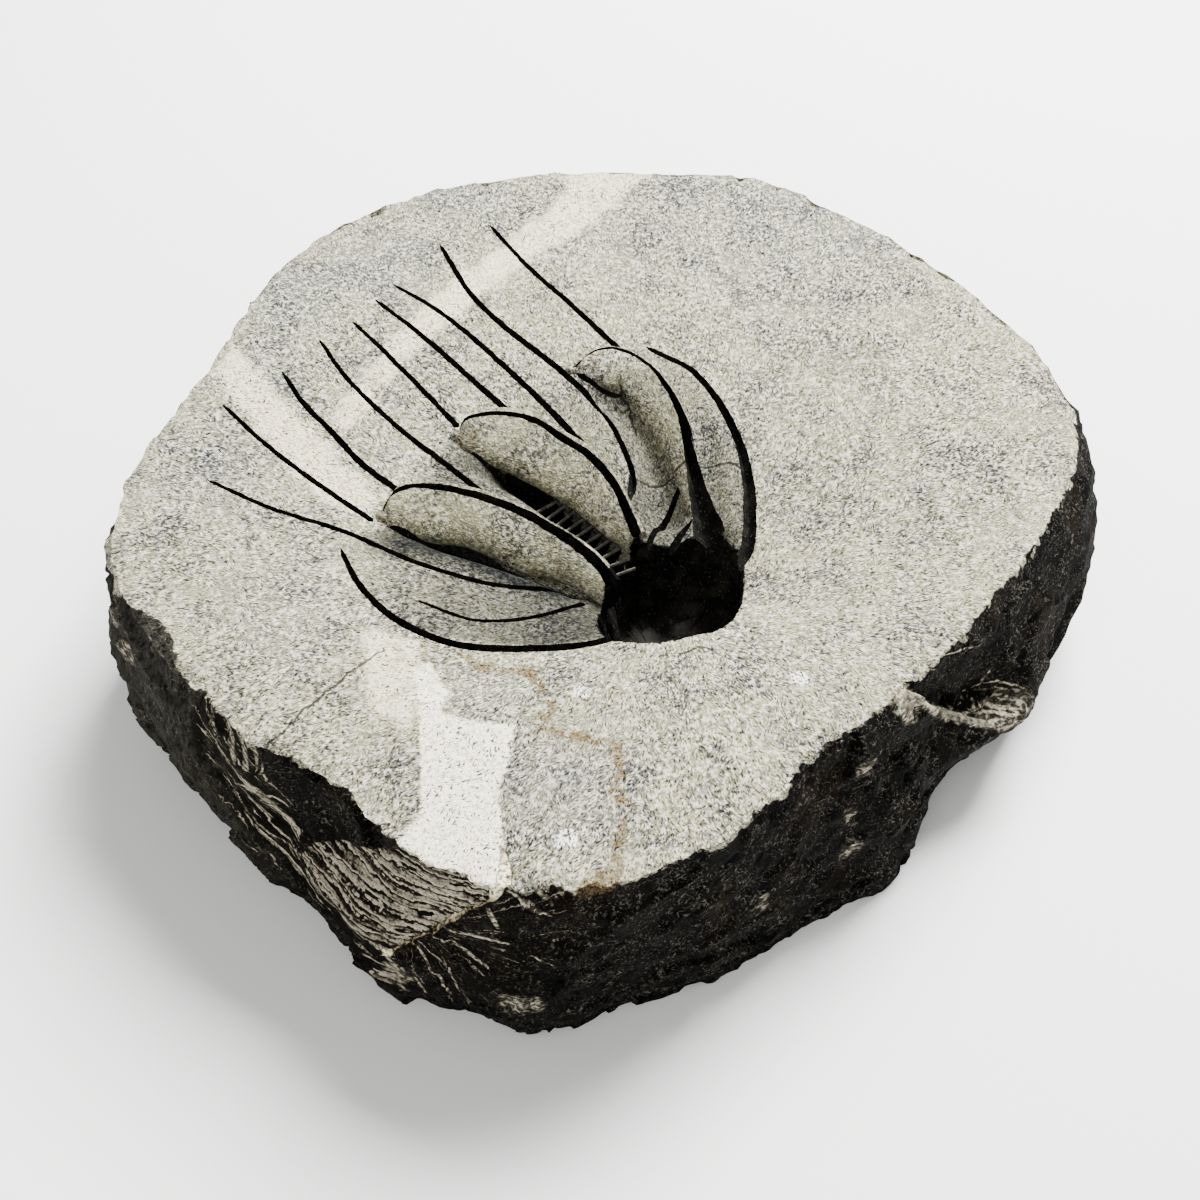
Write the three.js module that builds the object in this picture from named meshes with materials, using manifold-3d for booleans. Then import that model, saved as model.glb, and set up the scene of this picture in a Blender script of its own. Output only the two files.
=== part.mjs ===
// A dressed block of dark crystalline stone, one solid. Its pale top is hollowed into a shallow
// bowl round a steep black pit. Narrow grooves fan out from the pit like the spines of a fossil,
// three raised finger-like lobes lean over small valleys between them, and a deep trough with
// gill-like bars lies beside the pit. The sides are broken rock and the foot is flat.
// Millimetres, +Z up, the foot on z = 0.
import * as THREE from "three";
import { mergeVertices } from "three/addons/utils/BufferGeometryUtils.js";
import Module from "manifold-3d";

const HEIGHT = 140; // the dressed top above the foot
const PIT_CENTRE = [37, -99]; // outlines below are [degrees, mm] round this point
const FRAME_SHIFT = [5.2, -4.5]; // the middle of the whole outline, brought over the origin

const RIM = [
  [0, 194], [10, 223], [20, 264], [30, 295], [45, 325], [60, 352], [70, 374], [80, 396],
  [90, 396], [100, 403], [120, 406], [130, 394], [140, 366], [150, 346], [170, 336], [180, 318],
  [190, 289], [208, 250], [216, 226], [230, 227], [250, 213], [270, 184], [290, 153], [300, 141],
  [310, 138], [330, 149], [342, 160],
];
// The bowl: [degrees, how far it reaches, how deep it would be at the pit's middle].
const BOWL = [
  [0, 190, 34], [30, 210, 40], [60, 220, 42], [90, 250, 42], [120, 300, 42], [150, 310, 40],
  [180, 270, 34], [210, 190, 24], [240, 120, 14], [270, 100, 12], [300, 110, 14], [330, 150, 22],
];
const BOWL_POWER = 1.7;
const PIT = [
  [0, 41], [24, 49], [45, 62], [70, 65], [90, 55], [108, 61], [121, 54], [140, 46],
  [160, 40], [187, 43], [218, 47], [251, 40], [287, 35], [322, 36],
];
const PIT_WALL = [[0.5, 62], [0.78, 50], [0.9, 22]]; // [share of the radius, mm below the lip]
const PIT_FLOOR = 58; // height of the middle of the pit's floor
const TOP_ROWS = 15; // rings of corners from the pit's lip to the rim
const TOP_CROWDING = 1.3; // above 1, the rings crowd towards the pit
const COLUMNS = [[0, 60, 8], [60, 210, 42], [210, 360, 22]]; // [from, to, count], closest at the carving

// The broken sides: how far the rock stands out from the rim's outline at each height.
const SIDE_HEIGHTS = [122, 98, 77, 62, 32, 0];
const SIDES = [
  [7, [9, 22, 30, 33, 32, 24]], [20, [12, 24, 29, 30, 27, 18]], [32, [10, 18, 20, 18, 10, 0]],
  [60, [3, 6, 4, 0, -8, -18]], [100, [2, 4, -2, -8, -14, -24]], [140, [2, 0, -4, -2, -8, -20]],
  [165, [2, 5, 8, 8, 4, -6]], [180, [6, 13, 17, 15, 12, 2]], [192, [7, 12, 16, 17, 11, 2]],
  [207, [2, 4, 6, 10, 13, 8]], [218, [-4, 2, 12, 18, 26, 20]], [228, [-2, 5, 13, 19, 23, 16]],
  [240, [3, 7, 11, 13, 12, 7]], [251, [4, 8, 13, 15, 16, 10]], [264, [2, 4, 6, 6, 4, -1]],
  [280, [3, 6, 8, 9, 8, 4]], [305, [4, 10, 15, 19, 25, 25]], [320, [6, 13, 21, 26, 31, 32]],
  [333, [4, 8, 12, 17, 18, 14]], [344, [3, 8, 10, 30, 12, 0]], [351, [5, 12, 16, 39, 20, 9]],
  [358, [8, 18, 22, 34, 28, 17]],
];
const ROUGHNESS = 3; // how far a broken facet strays on the sides

// Small valleys beside the lobes and the swollen petal: [path, depth at each end, half-width].
const FOLDS = [
  { path: [[-126, -42], [-89, -51], [-40, -64], [-19, -74]], depth: [9, 13], reach: 15 },
  { path: [[-83, 18], [-51, 2], [-29, -14], [3, -44]], depth: [12, 20], reach: 17 },
  { path: [[-11, 80], [4, 72], [16, 61], [27, 35], [38, -17]], depth: [9, 12], reach: 20 },
  { path: [[32, 100], [51, 83], [68, 55], [77, 15], [74, -36]], depth: [-2, -7], reach: 15 },
];

const FOLD_ONSET = 0.25; // share of its path over which a fold comes in

// Grooves cut by a narrow chisel: its path, and its width at the outer and the inner end.
const GROOVES = [
  { path: [[-244, -14], [-203, -36], [-160, -51], [-105, -75], [-69, -84], [-28, -82]], width: [2.5, 4] },
  { path: [[-244, 52], [-216, 21], [-189, -4], [-141, -42]], width: [2.5, 4] },
  { path: [[-210, 83], [-192, 53], [-174, 32], [-153, 6], [-124, -19]], width: [2.5, 5] },
  { path: [[-189, 114], [-173, 86], [-124, 30], [-97, 6], [-74, -14]], width: [2.5, 4.5] },
  { path: [[-169, 132], [-145, 103], [-120, 72], [-94, 40]], width: [2.5, 4] },
  { path: [[-156, 155], [-130, 128], [-75, 68], [-56, 48]], width: [2.5, 5] },
  { path: [[-145, 171], [-119, 150], [-81, 110], [-37, 58], [-15, 30]], width: [2.5, 5] },
  { path: [[-116, 214], [-88, 155], [-24, 84], [-4, 61], [10, 33], [17, 7], [14, -12]], width: [3, 5.5] },
  { path: [[-82, 236], [-52, 188], [-21, 147], [9, 107]], width: [2.5, 4.5] },
  { path: [[26, 110], [55, 87], [74, 54], [86, 14], [88, -24], [83, -56], [70, -72]], width: [3, 10] },
  {
    path: [[-158, -66], [-144, -94], [-121, -119], [-95, -134], [-35, -137], [-1, -130], [14, -122]],
    width: [3, 8],
  },
  { path: [[-111, -103], [-73, -116], [-45, -110], [-13, -91]], width: [2, 4] },
  { path: [[46, 1], [44, -16], [34, -31], [23, -48]], width: [3, 5] },
  { path: [[53, -23], [46, -33], [36, -50]], width: [2.5, 5] },
];
const GROOVE_DEPTH = 7;
const GROOVE_RISE = 6; // how far its cutter stands above the surface
const GROOVE_ONSET = 0.25; // share of its path over which a groove deepens

// Lobes, tip to root: the crest, and the lip that leans out over its valley.
const LOBES = [
  {
    crest: [[-136, -37, 131], [-132, -27, 134], [-122, -20, 134], [-104, -20, 134], [-86, -24, 133],
      [-69, -30, 132], [-51, -38, 130], [-34, -49, 128], [-16, -62, 125], [-3, -74, 121], [4, -86, 118]],
    lip: [[-136, -40, 127], [-130, -46, 123], [-103, -50, 119], [-86, -52, 118], [-68, -60, 117],
      [-51, -69, 115], [-33, -73, 113], [-16, -79, 111], [-6, -87, 109], [1, -91, 109]],
    thickness: 10,
    groove: [2, 8],
  },
  {
    crest: [[-95, 33, 131], [-90, 41, 133], [-81, 45, 133], [-65, 46, 133], [-46, 40, 133],
      [-28, 26, 131], [-10, 11, 129], [5, -10, 125], [14, -30, 118], [19, -42, 112]],
    lip: [[-94, 29, 127], [-87, 20, 123], [-64, 12, 119], [-46, 1, 117], [-27, -11, 114],
      [-16, -20, 112], [-2, -33, 109], [9, -40, 106], [16, -45, 104]],
    thickness: 8,
    groove: [2, 7],
  },
  {
    crest: [[-22, 91, 131], [-12, 101, 134], [1, 106, 135], [13, 103, 135], [28, 90, 134],
      [40, 69, 133], [49, 42, 131]],
    lip: [[-20, 90, 128], [-8, 82, 125], [9, 81, 121], [15, 73, 119], [22, 62, 117], [36, 40, 117]],
    thickness: 9,
    groove: null,
  },
];
const LOBE_BRIM = 4; // rock left standing behind a crest's groove
const LOBE_SPANS = 15; // rings along a lobe
const LOBE_CORNERS = 12; // corners of a lobe's rounded section
const LOBE_SQUARENESS = 0.8; // 1 is an ellipse, and less is boxier
const LOBE_BULGE = { out: 0.65, in: 0.8 }; // shares of the thickness to each side of the lobe's middle
const CREST_RISE = 5; // how far the cutter of a crest's groove stands above it
// The long groove down the third lobe's crest opens into a wedge at the pit.
const WEDGE = {
  path: [
    [-22, 91], [-12, 101], [1, 106], [13, 103], [28, 90], [40, 69], [49, 42], [53, 18], [57, -9],
    [62, -44],
  ],
  width: [2.5, 24],
  power: 3, // how late it widens
  depth: 10,
  rise: 8,
};
// Dark slots under the lips of the lobes, where they meet the dressed top.
const SLOTS = [
  { path: [[-131, -44], [-121, -48], [-102, -51], [-84, -56], [-62, -64]], radius: 5 },
  { path: [[-86, 20], [-70, 13], [-54, 3], [-38, -8]], radius: 6 },
  { path: [[-17, 86], [-8, 80], [2, 79], [11, 76]], radius: 4 },
];
const SLOT_CORNERS = 6;
// The trough behind the first lobe, and the gill-like bars that cross it.
const TROUGH = {
  path: [
    [-62, 16, 118], [-46, 1, 113], [-35, -13, 111], [-24, -23, 109], [-11, -36, 107], [1, -49, 105],
    [7, -60, 103],
  ],
  width: 19,
  floor: 86,
  taper: 0.7, // the floor's share of the width
};
// Bars sit at even shares of the trough's path, and their tops drop a little below it.
const BARS = { count: 10, from: 0.37, to: 0.97, thick: 2.4, deep: 14, drop: 4, half: 13 };
const STATION_SPACING = 11; // about how far apart the sections of a swept cutter lie

const STONE = new THREE.MeshStandardMaterial({ color: 0x9d9c96, roughness: 0.9, metalness: 0 });

const wasm = await Module();
wasm.setup();

const clamp = (value, low, high) => Math.min(high, Math.max(low, value));
const lerp = (a, b, t) => a + (b - a) * t;

// A smooth closed curve of values round the pit, through rows of [degrees, value].
function around(rows, pick = (row) => row[1]) {
  return (degrees) => {
    const count = rows.length;
    const turn = ((degrees % 360) + 360) % 360;
    let i = rows.findIndex((row) => row[0] > turn) - 1;
    if (i < 0) i = turn < rows[0][0] ? -1 : count - 1;
    const at = (k) => {
      const lap = Math.floor(k / count);
      const row = rows[k - lap * count];
      return [row[0] + 360 * lap, pick(row)];
    };
    const [before, from, to, after] = [at(i - 1), at(i), at(i + 1), at(i + 2)];
    const span = to[0] - from[0];
    const t = (turn - from[0]) / span;
    const slopeIn = ((to[1] - before[1]) / (to[0] - before[0])) * span;
    const slopeOut = ((after[1] - from[1]) / (after[0] - from[0])) * span;
    const s = t * t;
    const c = s * t;
    return (2 * c - 3 * s + 1) * from[1] + (c - 2 * s + t) * slopeIn
      + (3 * s - 2 * c) * to[1] + (c - s) * slopeOut;
  };
}

const rimRadius = around(RIM);
const pitRadius = around(PIT);
const bowlReach = around(BOWL, (row) => row[1]);
const bowlDepth = around(BOWL, (row) => row[2]);
const sideOffsets = SIDE_HEIGHTS.map((_, level) => around(SIDES, (row) => row[1][level]));

// A repeatable scatter between -1 and 1 for one place on the block.
function scatter(i, j) {
  const wave = Math.sin(i * 127.1 + j * 311.7) * 43758.5453;
  return 2 * (wave - Math.floor(wave)) - 1;
}

// Distance from a point to a path on the plan, and how far along the path, 0 to 1.
function alongPath(path, x, y) {
  let best = { distance: Infinity, t: 0 };
  path.slice(1).forEach((b, i) => {
    const a = path[i];
    const [dx, dy] = [b[0] - a[0], b[1] - a[1]];
    const s = clamp(((x - a[0]) * dx + (y - a[1]) * dy) / (dx * dx + dy * dy), 0, 1);
    const distance = Math.hypot(x - a[0] - s * dx, y - a[1] - s * dy);
    if (distance < best.distance) best = { distance, t: (i + s) / (path.length - 1) };
  });
  return best;
}

// Height of the dressed top at a point of the plan: the bowl, less the folds.
function topHeight(x, y) {
  const [dx, dy] = [x - PIT_CENTRE[0], y - PIT_CENTRE[1]];
  const degrees = THREE.MathUtils.radToDeg(Math.atan2(dy, dx));
  const share = Math.max(0, 1 - Math.hypot(dx, dy) / bowlReach(degrees));
  let height = HEIGHT - bowlDepth(degrees) * share ** BOWL_POWER;
  for (const { path, depth, reach } of FOLDS) {
    const { distance, t } = alongPath(path, x, y);
    if (distance >= reach) continue;
    const onset = THREE.MathUtils.smoothstep(t, -0.05, FOLD_ONSET);
    height -= onset * lerp(depth[0], depth[1], t) * Math.cos((distance / reach) * (Math.PI / 2)) ** 2;
  }
  return height;
}

// A solid from a vertex list and quads or triangles, with shared corners joined.
function solid(vertices, triangles) {
  const geometry = new THREE.BufferGeometry();
  geometry.setAttribute("position", new THREE.Float32BufferAttribute(vertices.flat(), 3));
  geometry.setIndex(triangles.flat());
  const merged = mergeVertices(geometry, 1e-4);
  return new wasm.Manifold(new wasm.Mesh({
    numProp: 3,
    vertProperties: new Float32Array(merged.attributes.position.array),
    triVerts: new Uint32Array(merged.index.array),
  }));
}

// Rings of points, each with as many corners, skinned into a closed tube with flat ends. Rings
// that run the other way round would turn it inside out, so those are taken in reverse.
function skin(rings) {
  const corners = rings[0].length;
  const triangles = [];
  for (let r = 0; r + 1 < rings.length; r += 1) {
    for (let c = 0; c < corners; c += 1) {
      const [a, b] = [r * corners + c, r * corners + ((c + 1) % corners)];
      triangles.push([a, b, b + corners], [a, b + corners, a + corners]);
    }
  }
  const last = (rings.length - 1) * corners;
  for (let c = 1; c + 1 < corners; c += 1) {
    triangles.push([0, c + 1, c], [last, last + c, last + c + 1]);
  }
  const body = solid(rings.flat(), triangles);
  return body.volume() > 0 ? body : solid(rings.flat(), triangles.map(([a, b, c]) => [a, c, b]));
}

// The whole block with its bowl, pit, sides and foot, as rings round the pit's middle.
function block() {
  const columns = [];
  for (const [from, to, count] of COLUMNS) {
    for (let i = 0; i < count; i += 1) columns.push(lerp(from, to, i / count));
  }
  const place = (degrees, radius, height) => {
    const turn = THREE.MathUtils.degToRad(degrees);
    return [PIT_CENTRE[0] + radius * Math.cos(turn), PIT_CENTRE[1] + radius * Math.sin(turn), height];
  };
  const onTop = (degrees, radius) => {
    const [x, y] = place(degrees, radius, 0);
    return [x, y, topHeight(x, y)];
  };
  const rings = [];
  for (const [share, below] of PIT_WALL) {
    rings.push(columns.map((degrees, c) => {
      const radius = pitRadius(degrees);
      const height = onTop(degrees, radius)[2] - below;
      return place(degrees, radius * share + scatter(c, below), Math.max(PIT_FLOOR + 2, height));
    }));
  }
  for (let row = 0; row <= TOP_ROWS; row += 1) {
    rings.push(columns.map((degrees, c) => {
      const edge = rimRadius(degrees) + (row === TOP_ROWS ? 2 * scatter(c, 7) : 0);
      return onTop(degrees, lerp(pitRadius(degrees), edge, (row / TOP_ROWS) ** TOP_CROWDING));
    }));
  }
  SIDE_HEIGHTS.forEach((height, level) => {
    rings.push(columns.map((degrees, c) => {
      const stray = level === SIDE_HEIGHTS.length - 1 ? 0 : ROUGHNESS * scatter(c, level);
      const radius = rimRadius(degrees) + sideOffsets[level](degrees) + stray;
      return place(degrees, radius, height + stray);
    }));
  });

  const count = columns.length;
  const vertices = [[...PIT_CENTRE, PIT_FLOOR], ...rings.flat(), [...PIT_CENTRE, 0]];
  const end = vertices.length - 1;
  const triangles = [];
  for (let c = 0; c < count; c += 1) {
    const next = (c + 1) % count;
    triangles.push([0, 1 + c, 1 + next]);
    for (let r = 0; r + 1 < rings.length; r += 1) {
      const [a, b] = [1 + r * count + c, 1 + r * count + next];
      triangles.push([a, a + count, b + count], [a, b + count, b]);
    }
    const foot = 1 + (rings.length - 1) * count;
    triangles.push([foot + next, foot + c, end]);
  }
  return solid(vertices, triangles);
}

// Even stations on a smooth curve through points, each with its place, heading and share.
function stations(points, spacing) {
  const curve = new THREE.CatmullRomCurve3(points.map((p) => new THREE.Vector3(...p)));
  const count = Math.max(3, Math.round(curve.getLength() / spacing));
  return Array.from({ length: count + 1 }, (_, i) => ({
    at: curve.getPointAt(i / count),
    heading: curve.getTangentAt(i / count),
    t: i / count,
  }));
}

// A chisel's cutter along a path: upright above the surface, a point below it.
function chisel(points, widths, depth, rise, power = 0.5) {
  return skin(stations(points, STATION_SPACING).map(({ at, heading, t }) => {
    const side = new THREE.Vector3(-heading.y, heading.x, 0).normalize();
    const half = lerp(widths[0], widths[1], t ** power) / 2;
    const deep = depth * lerp(0.45, 1, Math.min(1, t / GROOVE_ONSET));
    const corner = (across, up) => [at.x + side.x * across, at.y + side.y * across, at.z + up];
    return [corner(half, rise), corner(half, 0), corner(0, -deep), corner(-half, 0), corner(-half, rise)];
  }));
}

const onSurface = ([x, y]) => [x, y, topHeight(x, y)];

// A lobe: an oval section between crest and lip, carried from tip to root.
function lobe({ crest, lip, thickness }) {
  const smooth = (points) => new THREE.CatmullRomCurve3(points.map((p) => new THREE.Vector3(...p)));
  const [upper, lower] = [smooth(crest), smooth(lip)];
  const rings = [];
  for (let i = 0; i <= LOBE_SPANS; i += 1) {
    const t = i / LOBE_SPANS;
    const [high, low] = [upper.getPoint(t), lower.getPoint(t)];
    const across = high.clone().sub(low);
    across.setLength(Math.max(2, across.length() + LOBE_BRIM * Math.min(1, 6 * t))).multiplyScalar(0.5);
    const middle = low.clone().add(across);
    const heading = upper.getTangent(t).add(lower.getTangent(t)).normalize();
    const out = heading.clone().cross(across).normalize();
    if (out.z < 0) out.negate();
    const swell = thickness * Math.min(1, 0.35 + 3 * t);
    rings.push(Array.from({ length: LOBE_CORNERS }, (_, k) => {
      const turn = (2 * Math.PI * k) / LOBE_CORNERS;
      const [c, s] = [Math.cos(turn), Math.sin(turn)];
      const reach = s > 0 ? LOBE_BULGE.out : LOBE_BULGE.in;
      const bulge = Math.sign(s) * Math.abs(s) ** LOBE_SQUARENESS * reach;
      return middle.clone().addScaledVector(across, c).addScaledVector(out, swell * bulge).toArray();
    }));
  }
  return skin(rings);
}

// A round slot along a path.
function slot({ path, radius }) {
  return skin(stations(path.map(onSurface), STATION_SPACING).map(({ at, heading }) => {
    const side = new THREE.Vector3(-heading.y, heading.x, 0).normalize();
    return Array.from({ length: SLOT_CORNERS }, (_, k) => {
      const turn = (-2 * Math.PI * k) / SLOT_CORNERS;
      const [across, up] = [radius * Math.cos(turn), radius * Math.sin(turn)];
      return [at.x + side.x * across, at.y + side.y * across, at.z + up];
    });
  }));
}

// The trough's cutter, straight down from above the surface to its floor.
function trough({ path, width, floor, taper }) {
  return skin(stations(path, STATION_SPACING).map(({ at, heading, t }) => {
    const side = new THREE.Vector3(-heading.y, heading.x, 0).normalize();
    const half = (width / 2) * Math.min(1, 0.3 + 2.5 * t);
    const foot = half * taper;
    const corner = (across, height) => [at.x + side.x * across, at.y + side.y * across, height];
    return [corner(half, HEIGHT), corner(foot, floor), corner(-foot, floor), corner(-half, HEIGHT)];
  }));
}

// One bar across the trough, sunk into both of its walls.
function bar(curve, t) {
  const { x, y, z } = curve.getPointAt(t);
  const heading = curve.getTangentAt(t).setZ(0).normalize();
  const ring = (across) => {
    const corner = (along, height) => [
      x - heading.y * across + heading.x * along, y + heading.x * across + heading.y * along, height,
    ];
    const [half, top] = [BARS.thick / 2, z - BARS.drop];
    const foot = top - BARS.deep;
    return [corner(half, top), corner(half, foot), corner(-half, foot), corner(-half, top)];
  };
  return skin([ring(-BARS.half), ring(BARS.half)]);
}

let stone = block();
for (const { path, width } of GROOVES) {
  stone = stone.subtract(chisel(path.map(onSurface), width, GROOVE_DEPTH, GROOVE_RISE));
}
stone = stone.subtract(trough(TROUGH));
const troughCurve = new THREE.CatmullRomCurve3(TROUGH.path.map((p) => new THREE.Vector3(...p)));
for (let i = 0; i < BARS.count; i += 1) {
  stone = stone.add(bar(troughCurve, lerp(BARS.from, BARS.to, i / (BARS.count - 1))));
}
for (const shape of LOBES) stone = stone.add(lobe(shape));
for (const shape of SLOTS) stone = stone.subtract(slot(shape));
for (const { crest, groove } of LOBES) {
  if (groove) stone = stone.subtract(chisel(crest, groove, GROOVE_DEPTH, CREST_RISE));
}
const wedgePath = WEDGE.path.map(onSurface);
stone = stone.subtract(chisel(wedgePath, WEDGE.width, WEDGE.depth, WEDGE.rise, WEDGE.power));

const { vertProperties, triVerts } = stone.getMesh();
const geometry = new THREE.BufferGeometry();
geometry.setAttribute("position", new THREE.BufferAttribute(vertProperties, 3));
geometry.setIndex(new THREE.BufferAttribute(triVerts, 1));
geometry.computeVertexNormals();

const mesh = new THREE.Mesh(geometry, STONE);
mesh.name = "stone";
mesh.position.set(-FRAME_SHIFT[0], -FRAME_SHIFT[1], 0);

const part = new THREE.Group();
part.add(mesh);
export default part;
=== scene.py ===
"""The looks of a dressed block of dark crystalline stone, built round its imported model.

The block is one closed mesh: a pale dressed top hollowed into a bowl, a black pit, narrow black
grooves, three leaning lobes, a trough with gill-like bars, broken dark sides and a flat foot.
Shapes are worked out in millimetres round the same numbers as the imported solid, then handed to
Blender in metres.
"""
import itertools
import logging
import math
from dataclasses import dataclass
from enum import Enum
from typing import Sequence

import bmesh
import bpy
import numpy as np
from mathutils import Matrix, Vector


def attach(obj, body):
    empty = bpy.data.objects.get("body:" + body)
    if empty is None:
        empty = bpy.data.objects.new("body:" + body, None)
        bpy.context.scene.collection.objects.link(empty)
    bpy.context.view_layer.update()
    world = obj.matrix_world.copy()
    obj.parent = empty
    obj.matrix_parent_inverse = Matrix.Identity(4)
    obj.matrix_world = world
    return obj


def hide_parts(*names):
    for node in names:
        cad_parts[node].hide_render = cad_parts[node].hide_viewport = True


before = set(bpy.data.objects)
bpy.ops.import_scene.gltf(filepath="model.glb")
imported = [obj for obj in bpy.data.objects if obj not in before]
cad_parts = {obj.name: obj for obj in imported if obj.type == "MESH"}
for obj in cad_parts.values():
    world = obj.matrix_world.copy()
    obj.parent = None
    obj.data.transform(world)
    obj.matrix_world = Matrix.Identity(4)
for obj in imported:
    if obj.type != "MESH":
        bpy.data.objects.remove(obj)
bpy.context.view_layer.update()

LOG = logging.getLogger("stone")

Rows = Sequence[Sequence[float]]
Socket = bpy.types.NodeSocket

MM = 0.001  # metres in a millimetre
HEIGHT = 140.0  # the dressed top above the foot, mm
PIT_CENTRE = np.array([37.0, -99.0])  # outlines are [degrees, mm] round this point
FRAME_SHIFT = np.array([5.2, -4.5, 0.0])  # the middle of the outline, brought over the origin
SIDE_REACH = 235.0  # distance from the pit at which the sides are unrolled, mm
PIT_ROWS = 17  # rings of the pit, floor to lip
SHARP_ANGLE = 38  # degrees between faces above which an edge stays sharp
NO_STROKE = -6.0  # the half-breadth where no chisel stroke runs, mm
FAR = 99.0  # the distance to a stroke that is nowhere near, mm


# ---------------------------------------------------------------- numbers and noise


def hermite(knots: np.ndarray, values: np.ndarray, at: np.ndarray) -> np.ndarray:
    """A smooth curve through values at rising knots.

    On each span the curve is the cubic whose ends have the finite-difference slopes of the knots.

    Args:
        knots: rising places, one for each row of values.
        values: one row for each knot; further axes are carried along.
        at: places to read, inside the knots.

    Returns:
        One row for each place.
    """
    slopes = np.gradient(values, knots, axis=0)
    i = np.clip(np.searchsorted(knots, at, side="right") - 1, 0, len(knots) - 2)
    span = knots[i + 1] - knots[i]
    shape = (-1,) + (1,) * (values.ndim - 1)
    t = ((at - knots[i]) / span).reshape(shape)
    span = span.reshape(shape)
    return (
        (2 * t**3 - 3 * t**2 + 1) * values[i]
        + (t**3 - 2 * t**2 + t) * span * slopes[i]
        + (3 * t**2 - 2 * t**3) * values[i + 1]
        + (t**3 - t**2) * span * slopes[i + 1]
    )


def around(rows: np.ndarray, degrees: np.ndarray) -> np.ndarray:
    """A smooth closed curve of values round the pit.

    Args:
        rows: [degrees, value, ...] with rising degrees.
        degrees: any shape.

    Returns:
        The values at those degrees, one more axis where a row has several.
    """
    rows = np.asarray(rows, float)
    turn, values = rows[:, 0], rows[:, 1:]
    knots = np.concatenate((turn[-3:] - 360, turn, turn[:3] + 360))
    ringed = np.concatenate((values[-3:], values, values[:3]))
    found = hermite(knots, ringed, np.mod(degrees, 360).ravel())
    return found.reshape(np.shape(degrees) + ((values.shape[1],) if values.shape[1] > 1 else ()))


def smoothstep(low: float, high: float, x: np.ndarray) -> np.ndarray:
    """0 below low, 1 above high, and 3t^2 - 2t^3 between."""
    t = np.clip((x - low) / (high - low), 0.0, 1.0)
    return t * t * (3 - 2 * t)


def scatter(corner: np.ndarray, seed: int) -> np.ndarray:
    """A number between -1 and 1 for each whole-numbered corner, as good as random."""
    key = corner @ np.array([374761393, 668265263, 1103515245])
    key = (key + seed * 69069) & 0xFFFFFFFF
    key = ((key ^ key >> 13) * 1274126177) & 0xFFFFFFFF
    return ((key ^ key >> 16) & 0xFFFFFF) / 0x7FFFFF - 1.0


def lattice(points: np.ndarray, cell: float, seed: int) -> np.ndarray:
    """Value noise between -1 and 1: scattered corner values, blended smoothly inside each cell.

    Args:
        points: (..., 3) places in mm.
        cell: side of a cell in mm.
        seed: which noise.

    Returns:
        One value for each place.
    """
    place = points / cell + 57.31 * seed
    low = np.floor(place).astype(np.int64)
    part = place - low
    part = part * part * (3 - 2 * part)
    total = np.zeros(points.shape[:-1])
    for step in itertools.product((0, 1), repeat=3):
        total += scatter(low + step, seed) * np.prod(np.where(step, part, 1 - part), axis=-1)
    return total


def facets(points: np.ndarray, cell: float, seed: int) -> np.ndarray:
    """Broken faces: each place lies on the tilted plane of its nearest seed, one seed to a cell.

    A plane's height strays by 1 at its seed, and by 1 more for each cell away from it.

    Args:
        points: (..., 3) places in mm.
        cell: side of a cell in mm.
        seed: which faces.

    Returns:
        One height for each place.
    """
    place = points / cell
    low = np.floor(place).astype(np.int64)
    best, height = np.full(points.shape[:-1], np.inf), np.zeros(points.shape[:-1])
    for step in itertools.product((-1, 0, 1), repeat=3):
        corner = low + step
        draws = np.stack([scatter(corner, seed + k) for k in range(7)], axis=-1)
        away = place - corner - 0.5 - 0.4 * draws[..., :3]
        distance = np.linalg.norm(away, axis=-1)
        plane = draws[..., 3] + (away * draws[..., 4:]).sum(-1)
        height = np.where(distance < best, plane, height)
        best = np.minimum(best, distance)
    return height


def fractal(points: np.ndarray, cell: float, octaves: int, seed: int) -> np.ndarray:
    """A sum of lattice noises, each half as coarse and 0.55 as strong as the last."""
    return sum(0.55**k * lattice(points, cell / 2**k, seed + k) for k in range(octaves))


def ridged(points: np.ndarray, cell: float, octaves: int, seed: int) -> np.ndarray:
    """Noise with sharp ridges: one less twice the size of each octave, so it creases at zero."""
    return sum(
        0.5**k * (1 - 2 * np.abs(lattice(points, cell / 2**k, seed + k))) for k in range(octaves)
    )


def smooth_path(points: Rows, spacing: float) -> tuple[np.ndarray, np.ndarray]:
    """Even stations on a smooth curve through points.

    Args:
        points: given points, two or three numbers each, in mm.
        spacing: wanted distance between stations, mm.

    Returns:
        The stations, and each one's share of the way, 0 to 1.
    """
    given = np.asarray(points, float)
    knots = np.concatenate(([0.0], np.cumsum(np.linalg.norm(np.diff(given, axis=0), axis=1))))
    dense = hermite(knots, given, np.linspace(0, knots[-1], max(60, int(knots[-1] * 2))))
    run = np.concatenate(([0.0], np.cumsum(np.linalg.norm(np.diff(dense, axis=0), axis=1))))
    share = np.linspace(0, 1, max(4, round(run[-1] / spacing)) + 1)
    placed = [np.interp(share * run[-1], run, dense[:, k]) for k in range(given.shape[1])]
    return np.stack(placed, axis=1), share


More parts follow.
